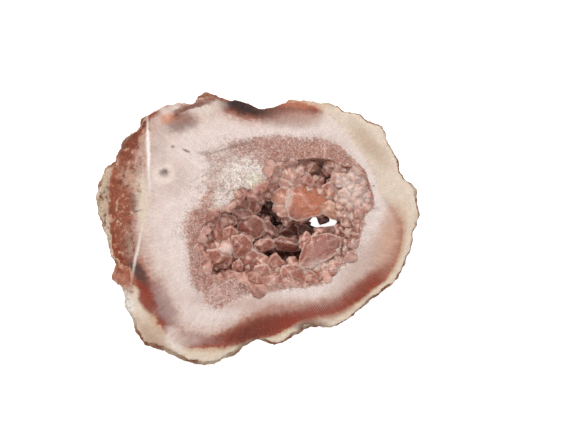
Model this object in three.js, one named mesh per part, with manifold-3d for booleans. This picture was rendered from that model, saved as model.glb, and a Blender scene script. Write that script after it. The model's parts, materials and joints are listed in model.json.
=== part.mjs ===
// A geode half: a rough nodule of banded rock, sawn flat across its top, with a hollow full of
// quartz crystals. It lies on its weathered back with the sawn face up.
// X runs along the longest side of the face, Y across it, and Z up from the surface it lies on.
// All sizes are in millimetres.
import * as THREE from "three";
import { mergeVertices } from "three/addons/utils/BufferGeometryUtils.js";
import Module from "manifold-3d";

const wasm = await Module();
wasm.setup();

// ---------- driving dimensions ----------
const FACE_Z = 38; // height of the sawn face above the table
const HOLLOW_DEPTH = 24; // from the sawn face down to the floor of the hollow
const GAP = 0.3; // clear space between a crystal and what it grows against
const RIM_STEPS = 108; // points round the nodule
const HOLLOW_STEPS = 84; // points round the hollow
const HEX = 6; // sides of a quartz crystal

// The nodule seen from above, clockwise from the top left: [x, y, how far the sawn face stops short].
const OUTLINE = [
  [-23.4, 45.4, 1.2], [-22.1, 47.3, 2.2], [-19.9, 48.9, 3], [-16.4, 49, 3], [-13.2, 47.7, 2],
  [-9.3, 46.7, 1.2], [-6.2, 46.2, 0.8], [-2.2, 44.8, 0.5], [1.3, 43.6, 0.4], [4.9, 43.8, 0.4],
  [8, 45.4, 0.4], [10.7, 46.5, 0.4], [14.2, 46.9, 0.4], [18.9, 46.5, 0.4], [22.9, 45.8, 0.5],
  [28.4, 44.6, 0.5], [30.8, 42.7, 0.5], [33.8, 42.5, 0.5], [37.8, 40.6, 0.5], [40.5, 38.7, 0.5],
  [44.1, 37.9, 0.6], [46, 35.9, 0.6], [46.6, 32.4, 0.6], [48.4, 28.9, 0.6], [50.3, 26.1, 0.6],
  [50.9, 23, 0.6], [50.8, 19.8, 0.6], [52.7, 18.7, 0.6], [54.6, 17.5, 0.6], [56.6, 14.4, 0.6],
  [57.2, 10.4, 0.6], [57.6, 4.9, 0.6], [56.6, 1, 0.6], [55.4, -2.1, 0.6], [55.4, -5.7, 0.6],
  [53.9, -10, 0.6], [51.5, -14.7, 0.6], [48.8, -19, 0.8], [45.6, -21.7, 1.2], [41.7, -24.5, 1.2],
  [37, -28.6, 0.5], [33.1, -31.5, 0.4], [30, -33.9, 0.4], [25.6, -35.1, 0.5], [21.3, -35.5, 0.8],
  [18.9, -34.7, 1.8], [15, -36.6, 2.4], [11.1, -39.4, 1.2], [6.4, -41.1, 0.8], [3.3, -40, 0.8],
  [-1, -39.4, 1.2], [-3.1, -41, 2], [-6.9, -43.7, 1.6], [-11.7, -46.5, 1.6], [-14.8, -48.4, 2.2],
  [-19.5, -49, 2.2], [-23.4, -48.4, 1.8], [-28.1, -46.7, 1.8], [-31.3, -45.1, 1.8], [-35.2, -43.7, 2],
  [-39.5, -42.1, 2.2], [-42.3, -39.8, 1.6], [-43.8, -37, 1], [-45, -32.7, 1], [-46.6, -29.6, 1.4],
  [-47.7, -27.5, 1.4], [-47.3, -24.9, 1.4], [-47.9, -22, 1.4], [-51.7, -19.2, 1], [-52.6, -16.6, 1],
  [-50.9, -14.3, 1], [-50.3, -12.7, 0.8], [-52.1, -9.5, 0.8], [-53.4, -5.7, 0.8], [-54.1, -1.1, 0.8],
  [-55.8, 0.2, 0.6], [-56.8, 4.9, 0.6], [-57.3, 11.2, 0.6], [-56.8, 18.3, 0.6], [-55.6, 21.8, 0.6],
  [-51.7, 24.6, 0.8], [-50.9, 27.7, 0.8], [-48.9, 30.1, 0.8], [-48.1, 32.8, 0.8], [-44.6, 35.5, 0.8],
  [-42.7, 36.3, 0.8], [-42.3, 38.7, 0.8], [-39.5, 41, 0.8], [-37.5, 43, 1.2], [-32.8, 44.3, 1.2],
  [-28.1, 45.6, 1.6], [-25.6, 45.3, 2],
];

// How the nodule narrows from the face down to its back: [height share, size share].
const BACK_PROFILE = [
  [0, 0.36], [0.02, 0.43], [0.08, 0.57], [0.18, 0.72], [0.34, 0.86], [0.5, 0.94], [0.66, 0.985],
  [0.82, 1], [0.95, 1],
];
const BACK_SHIFT = new THREE.Vector2(-7, -2); // the foot lies under the thick side of the wall
const LUMP = 1.3; // depth of the hollows in the weathered back

// Mouth of the hollow in the sawn face, clockwise from the top left.
const MOUTH = [
  [3.8, 23.6], [9.2, 24.3], [14.2, 24.8], [21.8, 25.4], [26.1, 24.7], [29.3, 22.9], [34, 22.1],
  [38, 20.7], [39.8, 16], [40.9, 11.7], [39.1, 8.1], [36.9, 5.9], [36.5, 1.6], [36.2, -2.7],
  [34, -6.7], [31.9, -10.3], [28.6, -12.4], [26.1, -14.6], [23.2, -17.8], [20.7, -19.6], [16.4, -20],
  [11.7, -19.3], [7, -19.6], [1.6, -21.1], [-2.7, -21.8], [-4.9, -17.8], [-9.2, -17.1], [-12.8, -18.2],
  [-15.3, -16.7], [-18.2, -14.6], [-20.3, -11.7], [-21.4, -7.4], [-20.7, -3.1], [-19.6, 0.5],
  [-17.5, 3.4], [-16, 6.3], [-12.1, 8.1], [-9.2, 9.2], [-7.7, 12.1], [-7.4, 14.2], [-5.2, 15.3],
  [-3.1, 13.9], [-0.9, 13.5], [0.9, 14.9], [3.1, 17.1], [4.1, 19.3],
];
const HOLLOW_CENTRE = new THREE.Vector2(6.3, 1.6);
// How the hollow narrows from its mouth to its floor: [depth share, size share].
const HOLLOW_PROFILE = [[0, 1], [0.1, 1], [0.28, 0.97], [0.5, 0.9], [0.72, 0.78], [0.88, 0.6], [1, 0.34]];

// The hole that the hollow has worn through the back.
const HOLE = { x: 23.6, y: 2.7, halfLength: 6.8, halfWidth: 3.4, turn: -6 };

// The broken side left of the sawn face: where its edge runs and how steeply it falls away.
const BREAK = { from: [-38.5, 42], to: [-44.4, -20], fall: 34 };

// The crystals, tallest and clearest first: a later one stops where it meets an earlier one.
// at: x and y of the head. depth: how far its tip is under the sawn face; a negative one was sawn off.
// r: half its width. lean: [bearing, angle from upright]. spin turns it about itself.
const CRYSTALS = [
  { name: "orange_slab", at: [18.5, 9.9], depth: 3.5, r: 5.8, lean: [-100, 12], spin: 10, stretch: 1.2 },
  { name: "tan_lobe", at: [26.8, 8.1], depth: 3, r: 3.2, lean: [-30, 25], spin: 20, stretch: 1.1 },
  { name: "pale_rimmed", at: [17.8, 18.5], depth: 3.5, r: 3.1, lean: [-30, 30], spin: 0, stretch: 1 },
  { name: "white_needle", at: [27.2, 21.1], depth: 2.5, r: 1.4, lean: [155, 65], spin: 0, stretch: 1 },
  { name: "big_round", at: [-2, 0.2], depth: 6.5, r: 4.7, lean: [0, 6], spin: 15, stretch: 1 },
  { name: "bright_tip", at: [7, -12.8], depth: 0.8, r: 3.6, lean: [75, 32], spin: 0, stretch: 1 },
  { name: "left_hanging", at: [-14.9, -1.6], depth: 2.5, r: 2.5, lean: [-85, 42], spin: 0, stretch: 1 },
  { name: "left_sawn", at: [-11, -6.3], depth: -1.5, r: 2.9, lean: [20, 25], spin: 30, stretch: 1.1 },
  { name: "left_block", at: [-15.7, -9.9], depth: 0.8, r: 3.2, lean: [-10, 28], spin: 5, stretch: 1.1 },
  { name: "smooth_red", at: [-3.1, -11.7], depth: 3.5, r: 4.3, lean: [60, 18], spin: 25, stretch: 1.05 },
  { name: "bright_small", at: [-6.7, -13.1], depth: 3, r: 1.6, lean: [20, 30], spin: 0, stretch: 1 },
  { name: "mauve_sawn", at: [22.5, -7.7], depth: -3, r: 6.1, lean: [160, 15], spin: 12, stretch: 1.1 },
  { name: "orange_left", at: [9.2, 12.4], depth: 4.5, r: 3.2, lean: [-60, 25], spin: 0, stretch: 1 },
  { name: "orange_lower", at: [8.8, 7.4], depth: 4.5, r: 3.1, lean: [-120, 30], spin: 10, stretch: 1 },
  { name: "upper_left_block", at: [7, 21.1], depth: 2.5, r: 3.2, lean: [-70, 35], spin: 0, stretch: 1.1 },
  { name: "upper_mid_block", at: [11.7, 21.1], depth: 2.5, r: 2.9, lean: [-90, 35], spin: 20, stretch: 1 },
  { name: "upper_low_block", at: [9.9, 17.1], depth: 4, r: 2.5, lean: [-80, 40], spin: 0, stretch: 1.2 },
  { name: "crimson_shard", at: [3.1, 14.9], depth: 5, r: 3.2, lean: [-30, 30], spin: 40, stretch: 1.3 },
  { name: "long_lying", at: [2.3, -5.4], depth: 7.5, r: 2.3, lean: [15, 72], spin: 0, stretch: 1 },
  { name: "lower_hex", at: [12.1, -5.9], depth: 8, r: 3.6, lean: [-10, 20], spin: 0, stretch: 1.05 },
  { name: "centre_right", at: [5.2, -0.5], depth: 8.5, r: 3.2, lean: [-20, 15], spin: 10, stretch: 1 },
  { name: "dark_hex_west", at: [10.6, 0.5], depth: 11.5, r: 3.2, lean: [-30, 15], spin: 0, stretch: 1 },
  { name: "dark_hex_east", at: [16.7, 0.2], depth: 11.5, r: 2.9, lean: [160, 15], spin: 15, stretch: 1 },
  { name: "left_ledge", at: [-19.6, -3.8], depth: 2.5, r: 2.9, lean: [-10, 35], spin: 12, stretch: 1 },
  { name: "left_low", at: [-19.6, -11.7], depth: 1.2, r: 2.9, lean: [10, 35], spin: 0, stretch: 1 },
  { name: "under_ledge", at: [-12.8, -14.6], depth: 6.5, r: 3.2, lean: [30, 20], spin: 0, stretch: 1.1 },
  { name: "pink_step", at: [-5.9, -5.2], depth: 2.5, r: 2.9, lean: [10, 22], spin: 0, stretch: 1.1 },
  { name: "pale_step", at: [-9.2, -2], depth: 3, r: 2.2, lean: [-30, 30], spin: 0, stretch: 1.1 },
  { name: "small_pale_knob", at: [-5.2, 13.1], depth: 4, r: 2, lean: [-60, 30], spin: 0, stretch: 1 },
  { name: "brown_upper", at: [-2, 9.5], depth: 6.5, r: 3.2, lean: [-60, 25], spin: 10, stretch: 1 },
  { name: "pink_upper_west", at: [-7.7, 7.7], depth: 5, r: 2.9, lean: [-40, 30], spin: 0, stretch: 1 },
  { name: "rose_slope", at: [-5.2, 5.2], depth: 7, r: 2.9, lean: [-50, 30], spin: 0, stretch: 1.1 },
  { name: "rose_smooth", at: [-10.3, 1.3], depth: 5.5, r: 2.9, lean: [-30, 35], spin: 20, stretch: 1 },
  { name: "glint_knob", at: [0.2, 11.7], depth: 4.5, r: 1.6, lean: [-60, 30], spin: 0, stretch: 1 },
  { name: "amber_ledge", at: [3.8, 11.3], depth: 7.5, r: 1.8, lean: [-60, 30], spin: 0, stretch: 1.3 },
  { name: "back_red", at: [19.6, 22.1], depth: 8, r: 2, lean: [-90, 20], spin: 0, stretch: 1 },
  { name: "back_smoky", at: [23.2, 22.1], depth: 9.5, r: 2.5, lean: [-90, 20], spin: 0, stretch: 1 },
  { name: "tan_upper", at: [24.7, 14.2], depth: 5, r: 2.9, lean: [-140, 25], spin: 0, stretch: 1 },
  { name: "right_upper_sawn", at: [30.8, 17.5], depth: 0.5, r: 2.9, lean: [190, 28], spin: 0, stretch: 1 },
  { name: "right_mid_sawn", at: [31.5, 12.8], depth: 0.5, r: 2.9, lean: [180, 28], spin: 20, stretch: 1 },
  { name: "right_low_sawn", at: [33.7, 8.8], depth: 0.5, r: 2.7, lean: [170, 28], spin: 0, stretch: 1 },
  { name: "right_outer_sawn", at: [36.2, 14.2], depth: -1, r: 2.9, lean: [180, 25], spin: 0, stretch: 1 },
  { name: "right_top_sawn", at: [35.5, 18.9], depth: -1, r: 2.9, lean: [200, 25], spin: 10, stretch: 1 },
  { name: "right_brown", at: [27.2, 16.4], depth: 5.5, r: 2.2, lean: [200, 30], spin: 0, stretch: 1 },
  { name: "right_brown_low", at: [29.3, 11], depth: 5.5, r: 2.2, lean: [180, 30], spin: 0, stretch: 1 },
  { name: "right_pink_knob", at: [30.4, 5.6], depth: 2.5, r: 2.3, lean: [180, 30], spin: 0, stretch: 1 },
  { name: "right_druse_high", at: [34.4, 4.5], depth: 1.2, r: 2.9, lean: [180, 30], spin: 0, stretch: 1 },
  { name: "right_druse_mid", at: [33.3, -1.3], depth: 1.2, r: 3.2, lean: [175, 30], spin: 15, stretch: 1 },
  { name: "right_druse_low", at: [31.9, -7.4], depth: 1, r: 2.9, lean: [165, 30], spin: 0, stretch: 1 },
  { name: "below_hole", at: [25.4, -0.5], depth: 8, r: 2.9, lean: [150, 30], spin: 0, stretch: 1.3 },
  {
    name: "bottom_right_granular",
    at: [20.3, -14.9], depth: 0.3, r: 3.2, lean: [110, 30], spin: 0, stretch: 1.2,
  },
  { name: "bottom_west_block", at: [2.3, -13.5], depth: 0.8, r: 3.1, lean: [70, 30], spin: 15, stretch: 1 },
  { name: "bottom_facet", at: [-0.5, -17.1], depth: 0.3, r: 2.5, lean: [80, 30], spin: 0, stretch: 1.1 },
  { name: "bottom_sawn", at: [4.9, -17.8], depth: -1, r: 2.9, lean: [85, 28], spin: 20, stretch: 1.1 },
  {
    name: "bottom_east_sawn",
    at: [12.1, -15.7], depth: -1, r: 3.4, lean: [90, 28], spin: 0, stretch: 1.05,
  },
  {
    name: "bottom_pale_sawn",
    at: [18.5, -17.8], depth: -1, r: 2.5, lean: [110, 28], spin: 10, stretch: 1.1,
  },
  { name: "bottom_brown", at: [-3.4, -20], depth: 1.5, r: 2.9, lean: [80, 30], spin: 0, stretch: 1.2 },
];

// ---------- helpers ----------
const radians = THREE.MathUtils.degToRad;

// A closed three.js geometry as a manifold solid.
function solidOf(geometry, matrix = new THREE.Matrix4()) {
  const bare = geometry.clone().applyMatrix4(matrix);
  bare.deleteAttribute("normal");
  bare.deleteAttribute("uv");
  const merged = mergeVertices(bare, 1e-4);
  const mesh = new wasm.Mesh({
    numProp: 3,
    vertProperties: new Float32Array(merged.attributes.position.array),
    triVerts: new Uint32Array(merged.index.array),
  });
  return new wasm.Manifold(mesh);
}

// A manifold solid as a named mesh.
function meshOf(solid, name, material) {
  const { vertProperties, triVerts } = solid.getMesh();
  const geometry = new THREE.BufferGeometry();
  geometry.setAttribute("position", new THREE.BufferAttribute(vertProperties, 3));
  geometry.setIndex(new THREE.BufferAttribute(triVerts, 1));
  geometry.computeVertexNormals();
  const mesh = new THREE.Mesh(geometry, material);
  mesh.name = name;
  return mesh;
}

// Closed rings of equal length, lowest first and each counter-clockwise from above, as one solid.
function stackOf(rings) {
  const count = rings[0].length;
  const points = rings.flat();
  const faces = [];
  for (let level = 0; level + 1 < rings.length; level++) {
    for (let i = 0; i < count; i++) {
      const a = level * count + i;
      const b = level * count + ((i + 1) % count);
      faces.push(a, b, b + count, a, b + count, a + count);
    }
  }
  const capCentre = (ring) => ring.reduce((sum, p) => sum.add(p), new THREE.Vector3()).divideScalar(count);
  points.push(capCentre(rings[0]), capCentre(rings[rings.length - 1]));
  const [foot, top] = [points.length - 2, points.length - 1];
  const lastRing = (rings.length - 1) * count;
  for (let i = 0; i < count; i++) {
    const next = (i + 1) % count;
    faces.push(foot, next, i, top, lastRing + i, lastRing + next);
  }
  const geometry = new THREE.BufferGeometry().setFromPoints(points);
  geometry.setIndex(faces);
  return solidOf(geometry);
}

// Evenly spaced points on a smooth closed curve, counter-clockwise; the lists above run clockwise.
function smoothLoop(points, count) {
  const corners = points.map(([x, y, z = 0]) => new THREE.Vector3(x, y, z));
  const curve = new THREE.CatmullRomCurve3(corners, true, "centripetal");
  return curve.getSpacedPoints(count).slice(0, count).reverse();
}

// ---------- the rock ----------
// A smooth unevenness, from 0 to 1, over the weathered back.
function unevenness(bearing, height) {
  const broad = Math.sin(3 * bearing + 0.11 * height) + Math.sin(5 * bearing - 0.23 * height + 1.7);
  const fine = Math.sin(9 * bearing + 0.41 * height + 0.6) + Math.sin(14 * bearing - 0.52 * height);
  return 0.5 + 0.17 * broad + 0.08 * fine;
}

function rockRing(silhouette, heightShare, sizeShare) {
  const height = heightShare * FACE_Z;
  const shift = BACK_SHIFT.clone().multiplyScalar((1 - heightShare) ** 1.5);
  const worn = LUMP * Math.min(1, 4 * (1 - heightShare)) * Math.min(1, 6 * heightShare);
  return silhouette.map((p) => {
    const reach = Math.hypot(p.x, p.y);
    const kept = sizeShare - (worn * unevenness(Math.atan2(p.y, p.x), height)) / reach;
    return new THREE.Vector3(p.x * kept + shift.x, p.y * kept + shift.y, height);
  });
}

function rock() {
  const silhouette = smoothLoop(OUTLINE, RIM_STEPS);
  const rings = BACK_PROFILE.map(([height, size]) => rockRing(silhouette, height, size));
  const face = silhouette.map((p) => {
    const kept = 1 - p.z / Math.hypot(p.x, p.y);
    return new THREE.Vector3(p.x * kept, p.y * kept, FACE_Z);
  });
  return stackOf([...rings, face]);
}

// A flat counter-clockwise ring moved inwards by the given distance.
function insetRing(ring, distance) {
  return ring.map((p, i) => {
    const along = ring[(i + 1) % ring.length].clone().sub(ring.at(i - 1)).normalize();
    return new THREE.Vector3(p.x - along.y * distance, p.y + along.x * distance, p.z);
  });
}

// The space of the hollow, clear of its walls by the given distance.
function hollow(clear, top) {
  const mouth = smoothLoop(MOUTH, HOLLOW_STEPS);
  const ringAt = (depthShare, sizeShare, z) => {
    const ring = mouth.map((p) => {
      const out = new THREE.Vector2(p.x, p.y).sub(HOLLOW_CENTRE);
      out.multiplyScalar(sizeShare * (1 - 0.035 * depthShare * Math.sin(7 * out.angle())));
      return new THREE.Vector3(HOLLOW_CENTRE.x + out.x, HOLLOW_CENTRE.y + out.y, z);
    });
    return insetRing(ring, clear);
  };
  const rings = HOLLOW_PROFILE.slice(1).map(([depth, size]) =>
    ringAt(depth, size, FACE_Z - depth * (HOLLOW_DEPTH - clear)),
  );
  return stackOf([...rings.reverse(), ringAt(0, 1, top)]);
}

function hole() {
  const tube = new THREE.CylinderGeometry(1, 1, FACE_Z, 24);
  const place = new THREE.Matrix4()
    .makeTranslation(HOLE.x, HOLE.y, 0)
    .multiply(new THREE.Matrix4().makeRotationZ(radians(HOLE.turn)))
    .multiply(new THREE.Matrix4().makeScale(HOLE.halfLength, HOLE.halfWidth, 1))
    .multiply(new THREE.Matrix4().makeRotationX(Math.PI / 2));
  return solidOf(tube, place);
}

// A block that takes away everything above the broken side.
function breakBlock() {
  const [from, to] = [new THREE.Vector2(...BREAK.from), new THREE.Vector2(...BREAK.to)];
  const along = to.clone().sub(from);
  const size = 160;
  const block = new THREE.BoxGeometry(size, size, size).translate(-size / 2, 0, size / 2);
  const place = new THREE.Matrix4()
    .makeTranslation((from.x + to.x) / 2, (from.y + to.y) / 2, FACE_Z)
    .multiply(new THREE.Matrix4().makeRotationZ(Math.atan2(along.y, along.x) + Math.PI / 2))
    .multiply(new THREE.Matrix4().makeRotationY(-radians(BREAK.fall)));
  return solidOf(block, place);
}

function wall() {
  return rock().subtract(breakBlock()).subtract(hollow(0, FACE_Z + 1)).subtract(hole());
}

// ---------- the crystals ----------
// One crystal standing on +Z with its shoulder at the origin: a six-sided column under a blunt point.
function crystalGeometry(r, length) {
  const tip = 0.85 * r;
  const profile = [[0, -length], [r * 0.92, -length], [r, 0], [r * 0.34, tip * 0.78], [0, tip]];
  const points = profile.map(([x, y]) => new THREE.Vector2(x, y));
  return new THREE.LatheGeometry(points, HEX).rotateX(Math.PI / 2);
}

function crystalSolid({ at, depth, r, lean, spin, stretch }, grow) {
  const [bearing, angle] = lean.map(radians);
  const tip = 0.85 * r;
  const turn = new THREE.Matrix4()
    .makeRotationZ(bearing)
    .multiply(new THREE.Matrix4().makeRotationY(angle))
    .multiply(new THREE.Matrix4().makeRotationZ(radians(spin) - bearing))
    .multiply(new THREE.Matrix4().makeScale(stretch, 1, 1));
  const axis = new THREE.Vector3(0, 0, 1).transformDirection(turn);
  const head = new THREE.Vector3(at[0], at[1], FACE_Z - depth - tip);
  const place = new THREE.Matrix4().makeTranslation(...head.addScaledVector(axis, -0.35 * tip).toArray());
  const length = angle > 1 ? 2.6 * r : HOLLOW_DEPTH;
  return solidOf(crystalGeometry(r + grow, length + grow), place.multiply(turn));
}

// The largest single piece of a solid.
function mainPiece(solid) {
  return solid.decompose().reduce((best, piece) => (piece.volume() > best.volume() ? piece : best));
}

// Grows the crystals into the hollow one after another, each clear of those before it.
function growCrystals() {
  let space = hollow(GAP, FACE_Z).subtract(hole());
  return CRYSTALS.map((crystal) => {
    const piece = mainPiece(crystalSolid(crystal, 0).intersect(space));
    space = space.subtract(crystalSolid(crystal, GAP));
    return [crystal.name, piece];
  });
}

// ---------- the object ----------
const rockMaterial = new THREE.MeshStandardMaterial({ color: 0xd9c3b4, roughness: 0.8, metalness: 0 });
const quartzMaterial = new THREE.MeshStandardMaterial({ color: 0xc48d7b, roughness: 0.25, metalness: 0 });

const geode = new THREE.Group();
geode.add(meshOf(wall(), "geode_wall", rockMaterial));
for (const [name, piece] of growCrystals()) {
  geode.add(meshOf(piece, `crystal_${name}`, quartzMaterial));
}


// The origin is the middle of the whole piece, at the surface it lies on.
const middle = new THREE.Box3().setFromObject(geode).getCenter(new THREE.Vector3());
geode.position.set(-middle.x, -middle.y, 0);

export default geode;
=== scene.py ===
# %% [markdown]
# # A sawn geode half
#
# A geode is a nodule of rock with a hollow inside. Mineral-rich water lined the hollow with chalcedony, a
# very fine quartz that builds up in bands, and then with larger quartz crystals that point into the empty
# space. This one was sawn in two. We see the flat sawn face with its bands, the rough weathered rind, and
# the crystals in the hollow.
#
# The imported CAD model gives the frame: one wall, and one node for each of the larger crystals. Everything
# made here goes where that model says.

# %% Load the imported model
import json
import math
import random

import bmesh
import bpy
import numpy as np
from mathutils import Matrix, Vector, noise
from mathutils.bvhtree import BVHTree
from mathutils.kdtree import KDTree


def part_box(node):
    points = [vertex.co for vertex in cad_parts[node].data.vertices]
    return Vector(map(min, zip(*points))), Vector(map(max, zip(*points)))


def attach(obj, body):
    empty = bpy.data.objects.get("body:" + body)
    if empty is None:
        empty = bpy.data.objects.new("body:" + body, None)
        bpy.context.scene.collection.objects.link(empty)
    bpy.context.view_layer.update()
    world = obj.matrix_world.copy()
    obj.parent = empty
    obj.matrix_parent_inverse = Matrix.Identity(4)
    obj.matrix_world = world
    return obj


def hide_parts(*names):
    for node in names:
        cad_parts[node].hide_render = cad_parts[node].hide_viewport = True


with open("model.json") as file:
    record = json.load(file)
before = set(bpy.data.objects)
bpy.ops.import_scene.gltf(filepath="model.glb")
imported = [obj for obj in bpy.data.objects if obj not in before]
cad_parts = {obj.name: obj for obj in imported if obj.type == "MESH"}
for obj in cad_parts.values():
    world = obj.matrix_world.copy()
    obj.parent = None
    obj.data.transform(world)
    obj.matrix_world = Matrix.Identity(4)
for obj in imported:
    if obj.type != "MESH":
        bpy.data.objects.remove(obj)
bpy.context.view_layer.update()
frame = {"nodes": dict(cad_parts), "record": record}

MM = 0.001
FACE_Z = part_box("geode_wall")[1].z
FACE_MM = FACE_Z / MM
wall_node = frame["nodes"]["geode_wall"]
crystal_names = sorted(name for name in frame["nodes"] if name.startswith("crystal_"))
print("sawn face at", round(FACE_MM, 1), "mm;", len(crystal_names), "crystals")

# %% [markdown]
# ## Camera, light and floor
#
# The geode lies on its back, and the camera looks straight down at the sawn face. A long lens far away
# keeps the outline nearly free of perspective. Small hard lights would give sharp glints on every facet, so
# the lights are big and soft. The one from the far side is stronger, and the near side of each lump falls
# into a soft shade. The floor is pale and glows a little, as a light box does, so it also shows bright
# through the hole in the back.

# %% Camera
VIEW_CENTRE = Vector((11.1 * MM, 4.7 * MM, FACE_Z))
VIEW_WIDTH = 207.7 * MM
LENS, SENSOR = 100, 36
camera_data = bpy.data.cameras.new("camera")
camera_data.lens = LENS
camera_data.sensor_width = SENSOR
camera = bpy.data.objects.new("camera", camera_data)
camera.location = VIEW_CENTRE + Vector((0, 0, VIEW_WIDTH * LENS / SENSOR))
bpy.context.scene.collection.objects.link(camera)
bpy.context.scene.camera = camera
bpy.context.scene.view_settings.view_transform = "Standard"
print("camera", round(camera.location.z / MM), "mm above the floor")


# %% Lights
def soft_light(name, place, size, power, colour=(1, 1, 1)):
    """A round area light at a place in metres, turned to face the geode."""
    lamp = bpy.data.lights.new(name, "AREA")
    lamp.shape = "DISK"
    lamp.size = size
    lamp.energy = power
    lamp.color = colour
    made = bpy.data.objects.new(name, lamp)
    made.location = place
    made.rotation_euler = (Vector((0, 0, FACE_Z)) - made.location).to_track_quat("-Z", "Y").to_euler()
    bpy.context.scene.collection.objects.link(made)


soft_light("key_light", place=(-0.22, 0.42, 0.62), size=0.3, power=2.9, colour=(1, 0.985, 0.97))
soft_light("top_light", place=(0.1, -0.05, 0.95), size=0.8, power=2.5)
world = bpy.data.worlds.new("studio")
world.use_nodes = True
background = world.node_tree.nodes["Background"].inputs
background["Color"].default_value = (1, 1, 1, 1)
background["Strength"].default_value = 0.36
bpy.context.scene.world = world


# %% [markdown]
# ## Small helpers for materials
#
# A material is a graph of nodes. It could be wired by hand in the editor, but a script gives the same graph
# each time. Short helpers keep it readable: one turns a colour as a person reads it on a screen into the
# linear values that Blender works in, one adds a node with its inputs filled in, and the others add the few
# kinds of node that come up again and again.

# %% Material helpers
def screen_colour(red, green, blue):
    """A colour in screen values from 0 to 255, as the linear colour that a shader needs."""
    linear = []
    for value in (red, green, blue):
        share = value / 255
        linear.append(share / 12.92 if share <= 0.04045 else ((share + 0.055) / 1.055) ** 2.4)
    return (*linear, 1)


def fill_inputs(tree, node, inputs):
    """Gives each input a value, or links another node's output to it."""
    for key, value in inputs.items():
        if isinstance(value, bpy.types.NodeSocket):
            tree.links.new(value, node.inputs[key])
        else:
            node.inputs[key].default_value = value


def add_node(tree, kind, inputs, **settings):
    """Adds a shader node with its settings and inputs, and gives its outputs."""
    node = tree.nodes.new("ShaderNode" + kind)
    for key, value in settings.items():
        setattr(node, key, value)
    fill_inputs(tree, node, inputs)
    return node.outputs


def maths(tree, operation, first, second=0.0, third=0.0):
    """The output of a math node."""
    return add_node(tree, "Math", {0: first, 1: second, 2: third}, operation=operation)[0]


def product(tree, first, second, third):
    """Three values multiplied together."""
    return maths(tree, "MULTIPLY", maths(tree, "MULTIPLY", first, second), third)


def vectors(tree, operation, first, second):
    """The output of a vector math node; SCALE takes a number, the others a second vector."""
    key = "Scale" if operation == "SCALE" else 1
    return add_node(tree, "VectorMath", {0: first, key: second}, operation=operation)[0]


def turned_about_z(tree, position, angle):
    """A position turned about the Z axis."""
    return add_node(tree, "VectorRotate", {"Vector": position, "Angle": angle}, rotation_type="Z_AXIS")[0]


def ranged(tree, value, low, high, to_low=0.0, to_high=1.0, how="LINEAR"):
    """A value read between low and high, as a share from to_low to to_high, held at both ends."""
    inputs = {"Value": value, "From Min": low, "From Max": high, "To Min": to_low, "To Max": to_high}
    return add_node(tree, "MapRange", inputs, interpolation_type=how)[0]


def cloudy(tree, position, scale, detail=2.0):
    """The outputs of soft noise, 0 its value and 1 its colour; scale is in lumps per millimetre."""
    return add_node(tree, "TexNoise", {"Vector": position, "Scale": scale, "Detail": detail})


def carried(tree, name, output="Fac"):
    """What the mesh carries at each corner under a name."""
    return add_node(tree, "Attribute", {}, attribute_name=name)[output]


def blend_colours(tree, share, first, second):
    """A colour mix; share is 0 for the first colour and 1 for the second."""
    return add_node(tree, "Mix", {"Factor": share, 6: first, 7: second}, data_type="RGBA")[2]


def paint(tree, share, colour, red, green, blue):
    """Lays a screen colour over what is there, as thickly as the share says."""
    return blend_colours(tree, share, colour, screen_colour(red, green, blue))


# %% Groups and materials
FLOAT, COLOUR, VECTOR = "NodeSocketFloat", "NodeSocketColor", "NodeSocketVector"


def new_group(name, inputs, outputs):
    """An empty shader group with its sockets made, and its two end nodes."""
    group = bpy.data.node_groups.new(name, "ShaderNodeTree")
    for socket_name, kind, value in inputs:
        socket = group.interface.new_socket(socket_name, in_out="INPUT", socket_type=kind)
        if value is not None:
            socket.default_value = value
    for socket_name, kind in outputs:
        group.interface.new_socket(socket_name, in_out="OUTPUT", socket_type=kind)
    return group, group.nodes.new("NodeGroupInput").outputs, group.nodes.new("NodeGroupOutput").inputs


def new_material(name):
    """A material with its Principled shader, and its position on the piece in millimetres."""
    material = bpy.data.materials.new(name)
    material.use_nodes = True
    tree = material.node_tree
    place = add_node(tree, "TexCoord", {})["Object"]
    return material, tree, tree.nodes["Principled BSDF"], vectors(tree, "SCALE", place, 1 / MM)


# %% Floor
FLOOR_SIZE, FLOOR_DROP = 3.0, 0.0002  # metres; a hair under the geode, so that the two don't flicker
floor_mesh = bpy.data.meshes.new("floor")
floor_bm = bmesh.new()
bmesh.ops.create_grid(floor_bm, x_segments=1, y_segments=1, size=FLOOR_SIZE / 2)
floor_bm.to_mesh(floor_mesh)
floor_bm.free()
floor = bpy.data.objects.new("floor", floor_mesh)
floor.location.z = -FLOOR_DROP
bpy.context.scene.collection.objects.link(floor)
floor_material, floor_tree, floor_shader, _ = new_material("pale_floor")
fill_inputs(floor_tree, floor_shader, {
    "Base Color": (0.6, 0.6, 0.6, 1), "Roughness": 0.6,
    "Emission Color": (1, 1, 1, 1), "Emission Strength": 0.9,
})
floor_mesh.materials.append(floor_material)
print("floor", FLOOR_SIZE, "m wide")
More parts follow.
